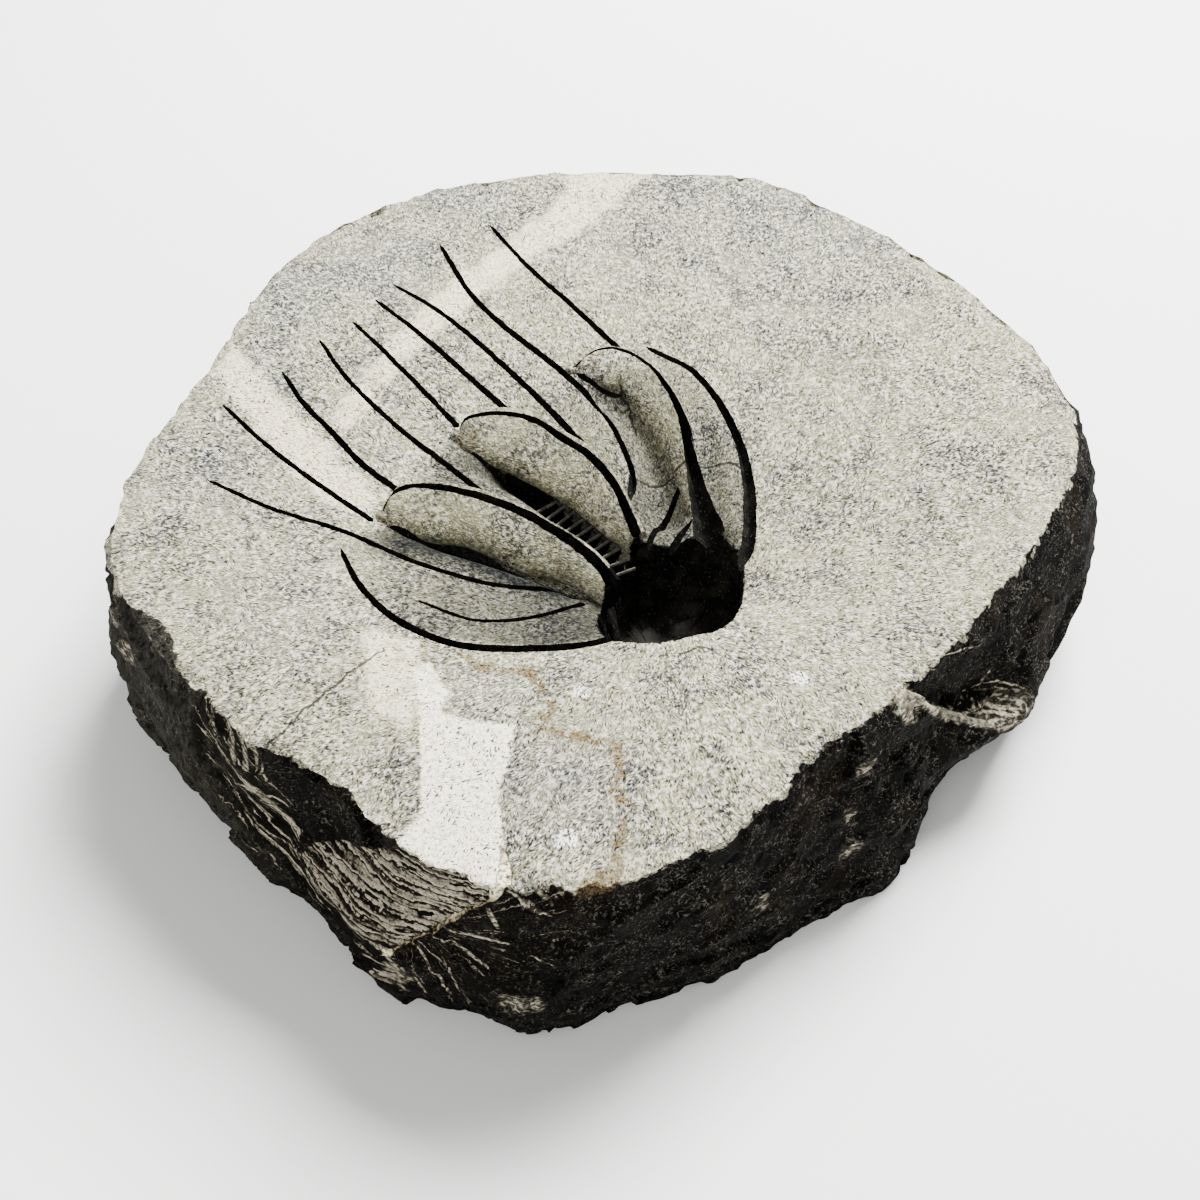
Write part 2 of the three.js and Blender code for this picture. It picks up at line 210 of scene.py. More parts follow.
def along(points: Rows, x: np.ndarray, y: np.ndarray) -> tuple[np.ndarray, np.ndarray]:
    """Where places of the plan lie beside a path.

    The distance is the smallest to any of its straight stretches, positive on the left.

    Args:
        points: the path's points on the plan, mm.
        x: places.
        y: places.

    Returns:
        Signed distance in mm, and share of the path, 0 to 1.
    """
    path = np.asarray(points, float)[:, :2]
    best = np.full(np.shape(x), np.inf)
    side = np.ones(np.shape(x))
    share = np.zeros(np.shape(x))
    for i, (a, b) in enumerate(zip(path[:-1], path[1:])):
        dx, dy = b - a
        t = np.clip(((x - a[0]) * dx + (y - a[1]) * dy) / (dx * dx + dy * dy), 0, 1)
        away = np.hypot(x - a[0] - t * dx, y - a[1] - t * dy)
        turn = np.sign(dx * (y - a[1]) - dy * (x - a[0]))
        nearer = away < best
        best = np.where(nearer, away, best)
        side = np.where(nearer, np.where(turn == 0, 1, turn), side)
        share = np.where(nearer, (i + t) / (len(path) - 1), share)
    return best * side, share


def inside(outline: Rows, x: np.ndarray, y: np.ndarray) -> np.ndarray:
    """Signed distance to a closed outline of the plan, positive inside, mm."""
    corners = np.asarray(outline, float)
    best = np.full(x.shape, np.inf)
    crossings = np.zeros(x.shape, bool)
    for a, b in zip(corners, np.roll(corners, -1, axis=0)):
        dx, dy = b - a
        t = np.clip(((x - a[0]) * dx + (y - a[1]) * dy) / (dx * dx + dy * dy), 0, 1)
        best = np.minimum(best, np.hypot(x - a[0] - t * dx, y - a[1] - t * dy))
        if dy:
            spans = (a[1] > y) != (b[1] > y)
            crossings ^= spans & (x < a[0] + dx * (y - a[1]) / dy)
    return np.where(crossings, best, -best)


def unroll(rows: Rows) -> np.ndarray:
    """Rows whose first number is degrees round the pit, with that number as mm along the sides."""
    rows = np.array(rows, float)
    rows[:, 0] = np.radians(rows[:, 0]) * SIDE_REACH
    return rows


def on_sides(points: np.ndarray) -> tuple[np.ndarray, np.ndarray]:
    """Where places lie on the unrolled sides: mm along them, and height in mm."""
    turn = np.arctan2(points[..., 1] - PIT_CENTRE[1], points[..., 0] - PIT_CENTRE[0])
    return np.mod(turn, 2 * math.pi) * SIDE_REACH, points[..., 2]


# ---------------------------------------------------------------- meshes


@dataclass
class Shell:
    """A closed surface: corners in mm, and its quads and triangles as corner numbers."""

    corners: np.ndarray
    quads: np.ndarray
    triangles: np.ndarray

    @staticmethod
    def skin(rings: np.ndarray) -> "Shell":
        """Rings of corners skinned into one closed tube, each end a fan to its ring's middle.

        Args:
            rings: (ring, corner, 3) in mm.

        Returns:
            The closed surface, turned so that its faces point outwards.
        """
        count, ring = rings.shape[:2]
        r, c = np.meshgrid(np.arange(count - 1), np.arange(ring), indexing="ij")
        a, b = r * ring + c, r * ring + (c + 1) % ring
        quads = np.stack((a, b, b + ring, a + ring), axis=-1).reshape(-1, 4)
        ends = np.array([rings[0].mean(0), rings[-1].mean(0)])
        corners = np.concatenate((rings.reshape(-1, 3), ends))
        step = np.arange(ring)
        nxt = (step + 1) % ring
        first, last = count * ring, (count - 1) * ring
        near = np.stack((np.full(ring, first), nxt, step), axis=-1)
        far = np.stack((np.full(ring, first + 1), last + step, last + nxt), axis=-1)
        shell = Shell(corners, quads, np.concatenate((near, far)))
        return shell if shell.volume() > 0 else shell.turned()

    def volume(self) -> float:
        """The volume inside, negative where the faces point inwards."""
        q, t = self.quads, self.triangles
        faces = np.concatenate((q[:, [0, 1, 2]], q[:, [0, 2, 3]], t))
        a, b, c = (self.corners[faces[:, k]] for k in range(3))
        return float(np.einsum("ij,ij->i", a, np.cross(b, c)).sum() / 6)

    def turned(self) -> "Shell":
        """The same surface with its faces the other way round."""
        return Shell(self.corners, self.quads[:, ::-1], self.triangles[:, ::-1])

    def build(
        self, name: str, finishes: Sequence[bpy.types.Material], finish: np.ndarray | int,
    ) -> bpy.types.Object:
        """Makes the surface a Blender object in metres, at the frame's origin.

        Args:
            name: the object's name.
            finishes: the stone's materials, the same for every piece that is joined or cut.
            finish: which of them each face has, quads first, or one number for all.

        Returns:
            The linked object.
        """
        mesh = bpy.data.meshes.new(name)
        mesh.vertices.add(len(self.corners))
        places = (self.corners - FRAME_SHIFT) * MM
        mesh.vertices.foreach_set("co", places.astype(np.float32).ravel())
        loops = np.concatenate((self.quads.ravel(), self.triangles.ravel()))
        mesh.loops.add(len(loops))
        mesh.loops.foreach_set("vertex_index", loops.astype(np.int32))
        sizes = np.concatenate((np.full(len(self.quads), 4), np.full(len(self.triangles), 3)))
        mesh.polygons.add(len(sizes))
        mesh.polygons.foreach_set("loop_start", (np.cumsum(sizes) - sizes).astype(np.int32))
        for material in finishes:
            mesh.materials.append(material)
        slots = np.broadcast_to(finish, len(sizes)).astype(np.int32)
        mesh.polygons.foreach_set("material_index", slots)
        mesh.update(calc_edges=True)
        made = bpy.data.objects.new(name, mesh)
        bpy.context.scene.collection.objects.link(made)
        return made


# ---------------------------------------------------------------- the block


@dataclass(frozen=True)
class Fold:
    """A small valley of the top, or a swelling where its depth is negative.

    Its section is a squared cosine, and it comes in over the first quarter of its path.
    """

    path: tuple
    depth: tuple[float, float]
    reach: float

    def drop(self, x: np.ndarray, y: np.ndarray) -> np.ndarray:
        """How far the fold lowers the top at places of the plan, mm."""
        away, share = along(self.path, x, y)
        section = np.cos(np.clip(np.abs(away) / self.reach, 0, 1) * math.pi / 2) ** 2
        depth = self.depth[0] + (self.depth[1] - self.depth[0]) * share
        return smoothstep(-0.05, 0.25, share) * depth * section


@dataclass(frozen=True)
class BlockForm:
    """The block's large form, in mm and in degrees round the pit's middle."""

    rim: tuple = (
        (0, 194), (10, 223), (20, 264), (30, 295), (45, 325), (60, 352), (70, 374), (80, 396),
        (90, 396), (100, 403), (120, 406), (130, 394), (140, 366), (150, 346), (170, 336),
        (180, 318), (190, 289), (199, 266), (206, 253), (210, 238), (216, 226), (230, 227),
        (250, 213), (270, 184), (290, 153), (300, 141), (310, 138), (330, 149), (342, 160),
    )
    bowl: tuple = (
        (0, 190, 34), (30, 210, 40), (60, 220, 42), (90, 250, 42), (120, 300, 42), (150, 310, 40),
        (180, 270, 34), (210, 190, 24), (240, 120, 14), (270, 100, 12), (300, 110, 14),
        (330, 150, 22),
    )
    pit: tuple = (
        (0, 41), (24, 49), (45, 62), (70, 65), (90, 55), (108, 61), (121, 54), (140, 46),
        (160, 40), (187, 43), (218, 47), (251, 40), (287, 35), (322, 36),
    )
    pit_wall: tuple = (
        (1.0, 0), (0.96, 6), (0.88, 24), (0.76, 48), (0.62, 60), (0.38, 64), (0.12, 66),
    )
    pit_floor: float = 57.0
    side_heights: tuple = (140, 122, 98, 77, 62, 32, 0)
    sides: tuple = (
        (7, 0, 9, 22, 30, 33, 32, 24), (20, 0, 12, 24, 29, 30, 27, 18),
        (32, 0, 10, 18, 20, 18, 10, 0), (60, 0, 3, 6, 4, 0, -8, -18),
        (100, 0, 2, 4, -2, -8, -14, -24), (140, 0, 2, 0, -4, -2, -8, -20),
        (165, 0, 2, 5, 8, 8, 4, -6), (180, 0, 6, 13, 17, 15, 12, 2), (192, 0, 7, 12, 16, 17, 11, 2),
        (207, 0, 2, 4, 6, 10, 13, 8), (218, 0, -4, 2, 12, 18, 26, 20),
        (228, 0, -2, 5, 13, 19, 23, 16), (240, 0, 3, 7, 11, 13, 12, 7),
        (251, 0, 4, 8, 13, 15, 16, 10), (264, 0, 2, 4, 6, 6, 4, -1), (280, 0, 3, 6, 8, 9, 8, 4),
        (305, 0, 4, 10, 15, 19, 25, 25), (320, 0, 6, 13, 21, 26, 31, 32),
        (333, 0, 4, 8, 12, 17, 18, 14), (344, 0, 3, 8, 10, 30, 12, 0),
        (351, 0, 5, 12, 16, 39, 20, 9), (358, 0, 8, 18, 22, 34, 28, 17),
    )
    folds: tuple = (
        Fold(((-126, -42), (-89, -51), (-40, -64), (-19, -74)), (12, 17), 16),
        Fold(((-83, 18), (-51, 2), (-29, -14), (3, -44)), (15, 24), 18),
        Fold(((-11, 80), (4, 72), (16, 61), (27, 35), (38, -17)), (15, 17), 22),
        Fold(((32, 100), (51, 83), (68, 55), (77, 15), (74, -36)), (-2, -7), 15),
    )

    def polar(self, x: np.ndarray, y: np.ndarray) -> tuple[np.ndarray, np.ndarray]:
        """Degrees and distance of places of the plan, seen from the pit's middle."""
        dx, dy = x - PIT_CENTRE[0], y - PIT_CENTRE[1]
        return np.degrees(np.arctan2(dy, dx)), np.hypot(dx, dy)

    def top(self, x: np.ndarray, y: np.ndarray) -> np.ndarray:
        """Height of the dressed top: a bowl round the pit, less the folds.

        The bowl's depth is its depth at the middle times (1 - distance / reach) to the power 1.7.
        """
        degrees, distance = self.polar(x, y)
        reach, deepest = np.moveaxis(around(self.bowl, degrees), -1, 0)
        share = np.clip(1 - distance / reach, 0, 1)
        return HEIGHT - deepest * share**1.7 - sum(fold.drop(x, y) for fold in self.folds)

    def side(self, degrees: np.ndarray, heights: np.ndarray) -> np.ndarray:
        """How far the sides stand out from the rim: (height, column) in mm."""
        levels = np.array(self.side_heights[::-1], float)
        table = around(self.sides, degrees)[:, ::-1].T
        return hermite(levels, table, heights)


@dataclass
class Block:
    """The whole block as rings round the pit: floor, wall, top, sides and foot."""

    form: BlockForm
    top_rows: int = 48
    side_rows: int = 76
    brim: tuple = (14.0, 9.0, 6.0, 3.5, 1.6, 0.0)  # last rows of the top, mm in from the rim

    def columns(self) -> np.ndarray:
        """Degrees of the grid's columns, closest where the carving and the furrows are."""
        spans = ((0, 60, 48), (60, 190, 160), (190, 262, 154), (262, 330, 66), (330, 360, 52))
        return np.concatenate([np.linspace(a, b, n, endpoint=False) for a, b, n in spans])

    def place(self, degrees: np.ndarray, distance: np.ndarray, height: np.ndarray) -> np.ndarray:
        """Corners at a distance from the pit's middle, as (..., 3)."""
        turn = np.radians(degrees)
        x = PIT_CENTRE[0] + distance * np.cos(turn)
        y = PIT_CENTRE[1] + distance * np.sin(turn)
        return np.stack(np.broadcast_arrays(x, y, height), axis=-1)

    def rim(self, degrees: np.ndarray) -> np.ndarray:
        """The rim's broken outline: its large form with bites of 14 mm and 5 mm."""
        smooth = around(self.form.rim, degrees)
        edge = self.place(degrees, smooth, HEIGHT)
        notch = 5 * smoothstep(4.5, 0.5, np.abs(np.mod(degrees, 360) - 329.5))
        return smooth + 2.4 * fractal(edge, 16, 2, 3) + 1.2 * lattice(edge, 4, 9) - notch

    def pit_rings(self, degrees: np.ndarray) -> np.ndarray:
        """The pit from its floor up to just under its lip, with rough rock walls."""
        radius = around(self.form.pit, degrees)
        lip = self.place(degrees, radius, 0)
        lip_height = self.form.top(lip[..., 0], lip[..., 1])
        shares, drops = np.array(self.form.pit_wall, float).T
        deep = np.linspace(0, 1, PIT_ROWS + 1)[1:, None]
        share = np.interp(deep, np.linspace(0, 1, len(shares)), shares)
        drop = np.interp(deep, np.linspace(0, 1, len(drops)), drops)
        height = np.maximum(lip_height - drop, self.form.pit_floor)
        rings = self.place(degrees, radius * share, height)
        stray = 2.4 * ridged(rings, 15, 3, 21) + 1.6 * facets(rings, 11, 25)
        stray = stray * np.clip(deep * 5, 0, 1)
        rings = self.place(degrees, radius * share + stray, height + 0.8 * stray)
        return rings[::-1]

    def top_rings(self, degrees: np.ndarray) -> np.ndarray:
        """The dressed top from the pit's lip to the rim.

        Rows spread out geometrically, and the last few crowd at the rim, where chips of up to
        4 mm are broken off. The face is bush-hammered, so it waves by a few tenths.
        """
        lip, rim = around(self.form.pit, degrees), self.rim(degrees)
        lip = lip + 1.2 * fractal(self.place(degrees, lip, 0), 8, 3, 5)
        spread = 1.7
        share = (np.exp(spread * np.linspace(0, 1, self.top_rows)) - 1) / (math.exp(spread) - 1)
        inner = lip + (rim - 20 - lip) * share[:, None]
        outer = rim - np.array(self.brim)[:, None]
        distance = np.concatenate((inner, outer))
        rings = self.place(degrees, distance, 0)
        height = self.form.top(rings[..., 0], rings[..., 1])
        near_rim = smoothstep(12, 0, rim - distance)
        chip = np.clip(fractal(rings, 13, 2, 31) - 0.15, 0, 1) * 6 + 0.5
        wave = 0.5 * lattice(rings, 28, 41) + 0.22 * lattice(rings, 6, 43)
        rings[..., 2] = height - near_rim * chip + wave * (1 - near_rim)
        return rings

    def side_rings(self, degrees: np.ndarray) -> np.ndarray:
        """The broken sides from just under the rim down to the foot."""
        heights = np.linspace(HEIGHT, 0, self.side_rows + 1)[1:]
        smooth, broken = around(self.form.rim, degrees), self.rim(degrees)
        fade = smoothstep(0, 26, HEIGHT - heights)[:, None]
        distance = broken + (smooth - broken) * fade + self.form.side(degrees, heights)
        rings = self.place(degrees, distance, heights[:, None])
        rough = 1.7 * ridged(rings, 34, 3, 51) + 0.8 * lattice(rings, 8, 55)
        rough = rough + 0.6 * lattice(rings, 3.6, 57)
        broken_faces = 2.8 * facets(rings, 40, 71) + 1.3 * facets(rings, 17, 81) + 0.9
        flow, (ribs, _) = Furrows().flow(rings), Furrows().ribs(rings)
        carved = smoothstep(-0.3, 0.0, ribs)
        broken_faces = broken_faces * (1 - 0.75 * carved)
        rough = rough * (1 - 0.5 * carved) + Ledge().relief(rings)
        rough = rough + carved * Furrows().depth * lattice(flow * np.array([0.6, 0.5, 1]), 1, 62)
        sink = smoothstep(0, 10, HEIGHT - heights)[:, None]
        lift = smoothstep(0, 12, heights)[:, None]
        up = heights[:, None] + 0.6 * rough * sink * lift
        rings = self.place(degrees, distance + (rough + broken_faces) * sink, up)
        rings[-1, :, 2] = 0.0
        return rings

    def foot_rings(self, last: np.ndarray) -> np.ndarray:
        """The flat foot, drawn in from the lowest ring of the sides."""
        middle = np.append(PIT_CENTRE, 0.0)
        return middle + (last - middle) * np.array([0.985, 0.7, 0.35])[:, None, None]

    def shell(self) -> Shell:
        """All rings skinned into one closed surface."""
        degrees = self.columns()
        sides = self.side_rings(degrees)
        pit, top = self.pit_rings(degrees), self.top_rings(degrees)
        return Shell.skin(np.concatenate((pit, top, sides, self.foot_rings(sides[-1]))))


@dataclass(frozen=True)
class Furrows:
    """Chisel strokes on the left front of the sides: wide ribs, long thin ones, and a fan.

    Outlines are (degrees, height) corners, and coverage is what share of each zone is rib, as an
    offset to the noise that draws the ribs.
    """

    wide: tuple = (
        (212.4, 64), (214, 80), (221.3, 101), (229, 128), (233, 150), (247, 150), (245.3, 134),
        (238.7, 101), (232.2, 66), (223, 52), (214.6, 46),
    )
    long: tuple = (
        (196.5, 150), (207.7, 150), (206.8, 108), (208.2, 98), (212.4, 72), (223, 60), (232.2, 66),
        (233.7, 10), (223.5, 34), (211.7, 40), (202.2, 64), (196.2, 100),
    )
    fan: tuple = (
        (232.2, 62), (238.7, 99), (245.3, 131), (247, 150), (254, 150), (256, 112), (251, 62),
        (241, 14), (233.7, 10),
    )
    coverage: tuple = (0.1, 0.01, -0.15)
    slope: tuple = ((190, 0.75), (211, 0.75), (217, 0.05), (222, -0.2), (262, -0.22))
    apex: tuple[float, float] = (232.5, 96.0)
    stroke: tuple[float, float] = (46.0, 6.6)  # length and breadth of a stroke, mm
    depth: float = 1.8

    def flow(self, points: np.ndarray) -> np.ndarray:
        """Places along and across the strokes, counted in strokes.

        Outside the fan the height plus the slope summed along the sides is the one across, and in
        it the turn round the apex is.

        Args:
            points: (..., 3) places in mm.

        Returns:
            (along, across, which) for each place.
        """
        run, height = on_sides(points)
        knots, slopes = unroll(self.slope).T
        fine = np.linspace(knots[0], knots[-1], 191)
        summed = np.cumsum(np.interp(fine, knots, slopes)) * (fine[1] - fine[0])
        across = height + np.interp(run, fine, summed) + 2.0 * fractal(points, 46, 2, 61)
        (start, top), = unroll((self.apex,))
        turn, reach = np.arctan2(height - top, run - start), np.hypot(run - start, height - top)
        fanned = inside(unroll(self.fan), run, height) > 0
        along_it = np.where(fanned, reach * 0.8, run) / self.stroke[0]
        across = np.where(fanned, turn * 60, across) / self.stroke[1]
        return np.stack((along_it, across, 9.0 * fanned), axis=-1)

    def ribs(self, points: np.ndarray) -> tuple[np.ndarray, np.ndarray]:
        """How far ribs cover the sides, -0.3 outside every zone, and where the wide ones are."""
        run, height = on_sides(points)
        zones = (self.wide, self.long, self.fan)
        depths = [smoothstep(-3, 5, inside(unroll(outline), run, height)) for outline in zones]
        covered = [(0.3 + most) * depth for most, depth in zip(self.coverage, depths)]
        return np.max(covered, axis=0) - 0.3, depths[0]


@dataclass(frozen=True)
class Ledge:
    """A block that stands out at the right, with a hollow scar above its slanting edge."""

    start: float = 329.0  # degrees where the edge leaves the rim
    end: float = 357.0
    fall: float = 4.0  # mm for each degree

    def above(self, points: np.ndarray) -> tuple[np.ndarray, np.ndarray]:
        """Height over the slanting edge in mm, and a mask of the degrees where it runs."""
        degrees, _ = BlockForm().polar(points[..., 0], points[..., 1])
        degrees = np.mod(degrees, 360)
        line = HEIGHT - self.fall * (degrees - self.start)
        line = np.maximum(line, 66) + 2.0 * lattice(points, 15, 95)
        begun = smoothstep(self.start - 1, self.start + 2, degrees)
        return points[..., 2] - line, begun * smoothstep(self.end, self.end - 6, degrees)

    def relief(self, points: np.ndarray) -> np.ndarray:
        """A scar 6 mm deep above the edge, fading upwards, and a lip 2.5 mm proud below it."""
        over, mask = self.above(points)
        scar = smoothstep(0, 4, over) * smoothstep(60, 25, over)
        lip = smoothstep(2, -2, over) * smoothstep(-22, -6, over)
        return mask * (2.5 * lip - 6 * scar)


# ---------------------------------------------------------------- the carving


class Join(Enum):
    """How a carved piece meets the block."""

    CUT = "DIFFERENCE"
    ADD = "UNION"


class Finish(Enum):
    """The stone's finishes, in the order of its material slots."""

    STONE = 0
    BLACKENED = 1
    GROUND = 2


def sideways(stations: np.ndarray) -> np.ndarray:
    """Level unit vectors to the left of a path, at each of its stations."""
    heading = np.gradient(stations, axis=0)
    side = np.stack((-heading[:, 1], heading[:, 0], 0 * heading[:, 0]), axis=1)
    return side / np.linalg.norm(side, axis=1, keepdims=True)


@dataclass(frozen=True)
class Groove:
    """A narrow chiselled cut, from its thin outer end to its wide inner end, mm."""

    path: tuple
    width: tuple[float, float]
    power: float = 0.5
    depth: float = 7.0
    rise: float = 6.0
    point: float = 1.0  # length of the inner end's taper

    def shell(self, form: BlockForm, seed: int) -> Shell:
        """The cutter: upright above the surface and pointed below it, with ragged edges.

        Each station's section is seven corners across the path. Its two half-widths wander by
        value noise of 6 mm and 2 mm along the way.

        Args:
            form: gives the surface where the path has no heights of its own.
            seed: which raggedness.

        Returns:
            The closed cutter.
        """
        stations, share = smooth_path(self.path, 1.6)
        if stations.shape[1] == 2:
            stations = np.column_stack((stations, form.top(stations[:, 0], stations[:, 1])))
        length = np.linalg.norm(np.diff(stations, axis=0), axis=1).sum()
        half = (self.width[0] + (self.width[1] - self.width[0]) * share**self.power) / 2
        half = half * np.clip(0.3 + share * length / 9, 0.3, 1)
        half = half * np.clip(0.25 + (1 - share) * length / self.point, 0, 1)
        left, right = (
            half
            + 0.32 * lattice(stations, 6, seed + k)
            + 0.28 * lattice(stations, 2.4, seed + k + 2)
            for k in (0, 1)
        )
        deep = self.depth * (0.4 + 0.6 * np.minimum(1, 5 * share))
        flat = np.zeros_like(half)
        section = (
            (left * 1.15, flat + self.rise), (left, flat), (left * 0.7, -0.55 * deep),
            (flat, -deep),
            (-right * 0.7, -0.55 * deep), (-right, flat), (-right * 1.15, flat + self.rise),
        )
        side, up = sideways(stations), np.array([0.0, 0.0, 1.0])
        rings = [stations + side * across[:, None] + up * rise[:, None] for across, rise in section]
        return Shell.skin(np.stack(rings, axis=1))


@dataclass(frozen=True)
class Lobe:
    """A raised finger of stone: its crest, and the lip that leans out over its valley, mm."""

    crest: tuple
    lip: tuple
    thickness: float
    groove: tuple[float, float] | None
    brim: tuple[float, float] = (3.0, 9.0)  # stone behind the crest, at the tip and the root
    root: float = 1.0  # share of the thickness that is left at the root
    nose: float = 4.0
    proud: float = 2.0  # how far the whole finger is lifted off the top

    def shell(self, seed: int) -> Shell:
        """An oval section between crest and lip, carried from the rounded tip to the root.

        The section is cos(a) along the line from lip to crest and a squared-off sin(a) to the
        power 0.8 outwards, a sixth fuller towards the lip. The skin strays by value noise of
        9 mm and 3 mm.

        Args:
            seed: which roughness.

        Returns:
            The closed lobe.
        """
        t = np.linspace(0, 1, 110)
        high, low = (
            hermite(np.arange(len(line), dtype=float), np.array(line, float), t * (len(line) - 1))
            for line in (self.crest, self.lip)
        )
        heading = np.gradient(high, axis=0) + np.gradient(low, axis=0)
        heading /= np.linalg.norm(heading, axis=1, keepdims=True)
        across = high - low
        width = np.linalg.norm(across, axis=1)
        brim = self.brim[0] + (self.brim[1] - self.brim[0]) * smoothstep(0.05, 0.5, t)
        wide = np.maximum(8, width + brim * np.minimum(1, 6 * t)) / 2
        across = across / width[:, None] * wide[:, None]
        out = np.cross(heading, across)
        out *= np.sign(out[:, 2:]) / np.linalg.norm(out, axis=1, keepdims=True)
        swell = self.thickness * np.minimum(1, 0.6 + 4 * t)
        swell = swell * (1 - (1 - self.root) * smoothstep(0.45, 1, t))
        turn = np.linspace(0, 2 * math.pi, 32, endpoint=False)
        c, s = np.cos(turn), np.sin(turn)
        bulge = np.sign(s) * np.abs(s) ** 0.8 * np.where(s > 0, 0.66 - 0.12 * c, 0.8)
        middle = low + across + np.array([0, 0, self.proud]) * smoothstep(1, 0.7, t)[:, None]
        spread = across[:, None] * c[:, None] + out[:, None] * (swell[:, None] * bulge)[..., None]
        skin = middle[:, None] + spread
        stray = 0.45 * lattice(skin, 9, seed) + 0.25 * lattice(skin, 3, seed + 1)
        spread = spread * (1 + stray / np.linalg.norm(spread, axis=-1).clip(2))[..., None]
        cap = np.radians([78.0, 55.0, 32.0])[:, None, None]
        tip = middle[0] - heading[0] * self.nose * np.sin(cap) + spread[0] * np.cos(cap)
        return Shell.skin(np.concatenate((tip, middle[:, None] + spread)))

    def crest_groove(self) -> Groove | None:
        """The chiselled line behind the crest, where the lobe has one."""
        return Groove(self.crest, self.groove, rise=10.0) if self.groove else None


@dataclass(frozen=True)
class Slot:
    """A dark undercut along the foot of a lobe."""

    path: tuple
    radii: tuple[float, float]

    def shell(self, form: BlockForm, seed: int) -> Shell:
        """A ten-cornered tube on the surface, whose radius wanders and closes at both ends."""
        stations, share = smooth_path(self.path, 2.5)
        stations = np.column_stack((stations, form.top(stations[:, 0], stations[:, 1])))
        radius = self.radii[0] + (self.radii[1] - self.radii[0]) * share
        radius = radius * np.clip(0.35 + 5 * np.minimum(share, 1 - share), 0, 1)
        radius = radius * (1 + 0.18 * lattice(stations, 7, seed))
        turn = np.linspace(0, 2 * math.pi, 10, endpoint=False)
        side, up = sideways(stations)[:, None], np.array([0.0, 0.0, 1.0])
        around_it = side * np.cos(turn)[:, None] + up * np.sin(turn)[:, None]
        return Shell.skin(stations[:, None] + around_it * radius[:, None, None])


@dataclass(frozen=True)
class Trough:
    """The deep cut beside the pit, and the gill-like bars that cross it."""

    path: tuple = (
        (-62, 16, 118), (-46, 1, 113), (-35, -13, 111), (-24, -23, 109), (-11, -36, 107),
        (1, -49, 105), (7, -60, 103),
    )
    width: float = 19.0
    floor: float = 86.0
    count: int = 10
    span: tuple[float, float] = (0.34, 0.98)
    thick: float = 2.5
    deep: float = 12.0
    drop: float = 1.0
    half: float = 13.0
    bow: float = -2.0

    def cutter(self) -> Shell:
        """Straight down from above the surface to the floor, with walls that wander by 1 mm."""
        stations, share = smooth_path(self.path, 2.0)
        half = self.width / 2 * np.minimum(1, 0.3 + 2.5 * share)
        side = sideways(stations)
        corners = ((1, HEIGHT), (0.95, 112), (0.85, 98), (0.6, self.floor), (-0.6, self.floor),
                   (-0.85, 98), (-0.95, 112), (-1, HEIGHT))
        rings = []
        for across, height in corners:
            place = stations + side * (half * across)[:, None]
            place[:, 2] = height
            rings.append(place + side * (0.8 * lattice(place, 6, 91))[:, None])
        return Shell.skin(np.stack(rings, axis=1))

    def bar_finish(self, shell: Shell) -> np.ndarray:
        """Ground stone along a bar's upper edge, and black below it."""
        upper = np.tile(np.isin(np.arange(10), (1, 2, 3)), 12)
        finish = np.where(upper, Finish.GROUND.value, Finish.BLACKENED.value)
        return np.concatenate((finish, np.full(len(shell.triangles), Finish.BLACKENED.value)))

    def bar(self, number: int) -> Shell:
        """One thin bar, sunk into both walls, bowed away from the pit and hollow-backed.

        Args:
            number: which bar, counted from the lobe's tip.

        Returns:
            The closed bar: a thin oval section carried across the trough.
        """
        stations, share = smooth_path(self.path, 1.0)
        t = self.span[0] + (self.span[1] - self.span[0]) * number / (self.count - 1)
        at = np.array([np.interp(t, share, stations[:, k]) for k in range(3)])
        ahead = np.array([np.interp(t + 0.02, share, stations[:, k]) for k in range(3)]) - at
        ahead = ahead * np.array([1, 1, 0]) / np.hypot(ahead[0], ahead[1])
        side = np.array([-ahead[1], ahead[0], 0.0])
        across = np.linspace(-self.half, self.half, 13)
        arch = 1 - (across / self.half) ** 2
        middle = at + side * across[:, None] + ahead * (self.bow * arch)[:, None]
        middle[:, 2] = at[2] - self.drop - self.deep / 2 - 2.0 * arch
        turn = np.linspace(0, 2 * math.pi, 10, endpoint=False)
        rise = np.sign(np.sin(turn)) * np.abs(np.sin(turn)) ** 0.5 * self.deep / 2
        section = ahead * (np.cos(turn) * self.thick / 2)[:, None]
        section = section + np.array([0, 0, 1.0]) * rise[:, None]
        return Shell.skin(middle[:, None] + section)


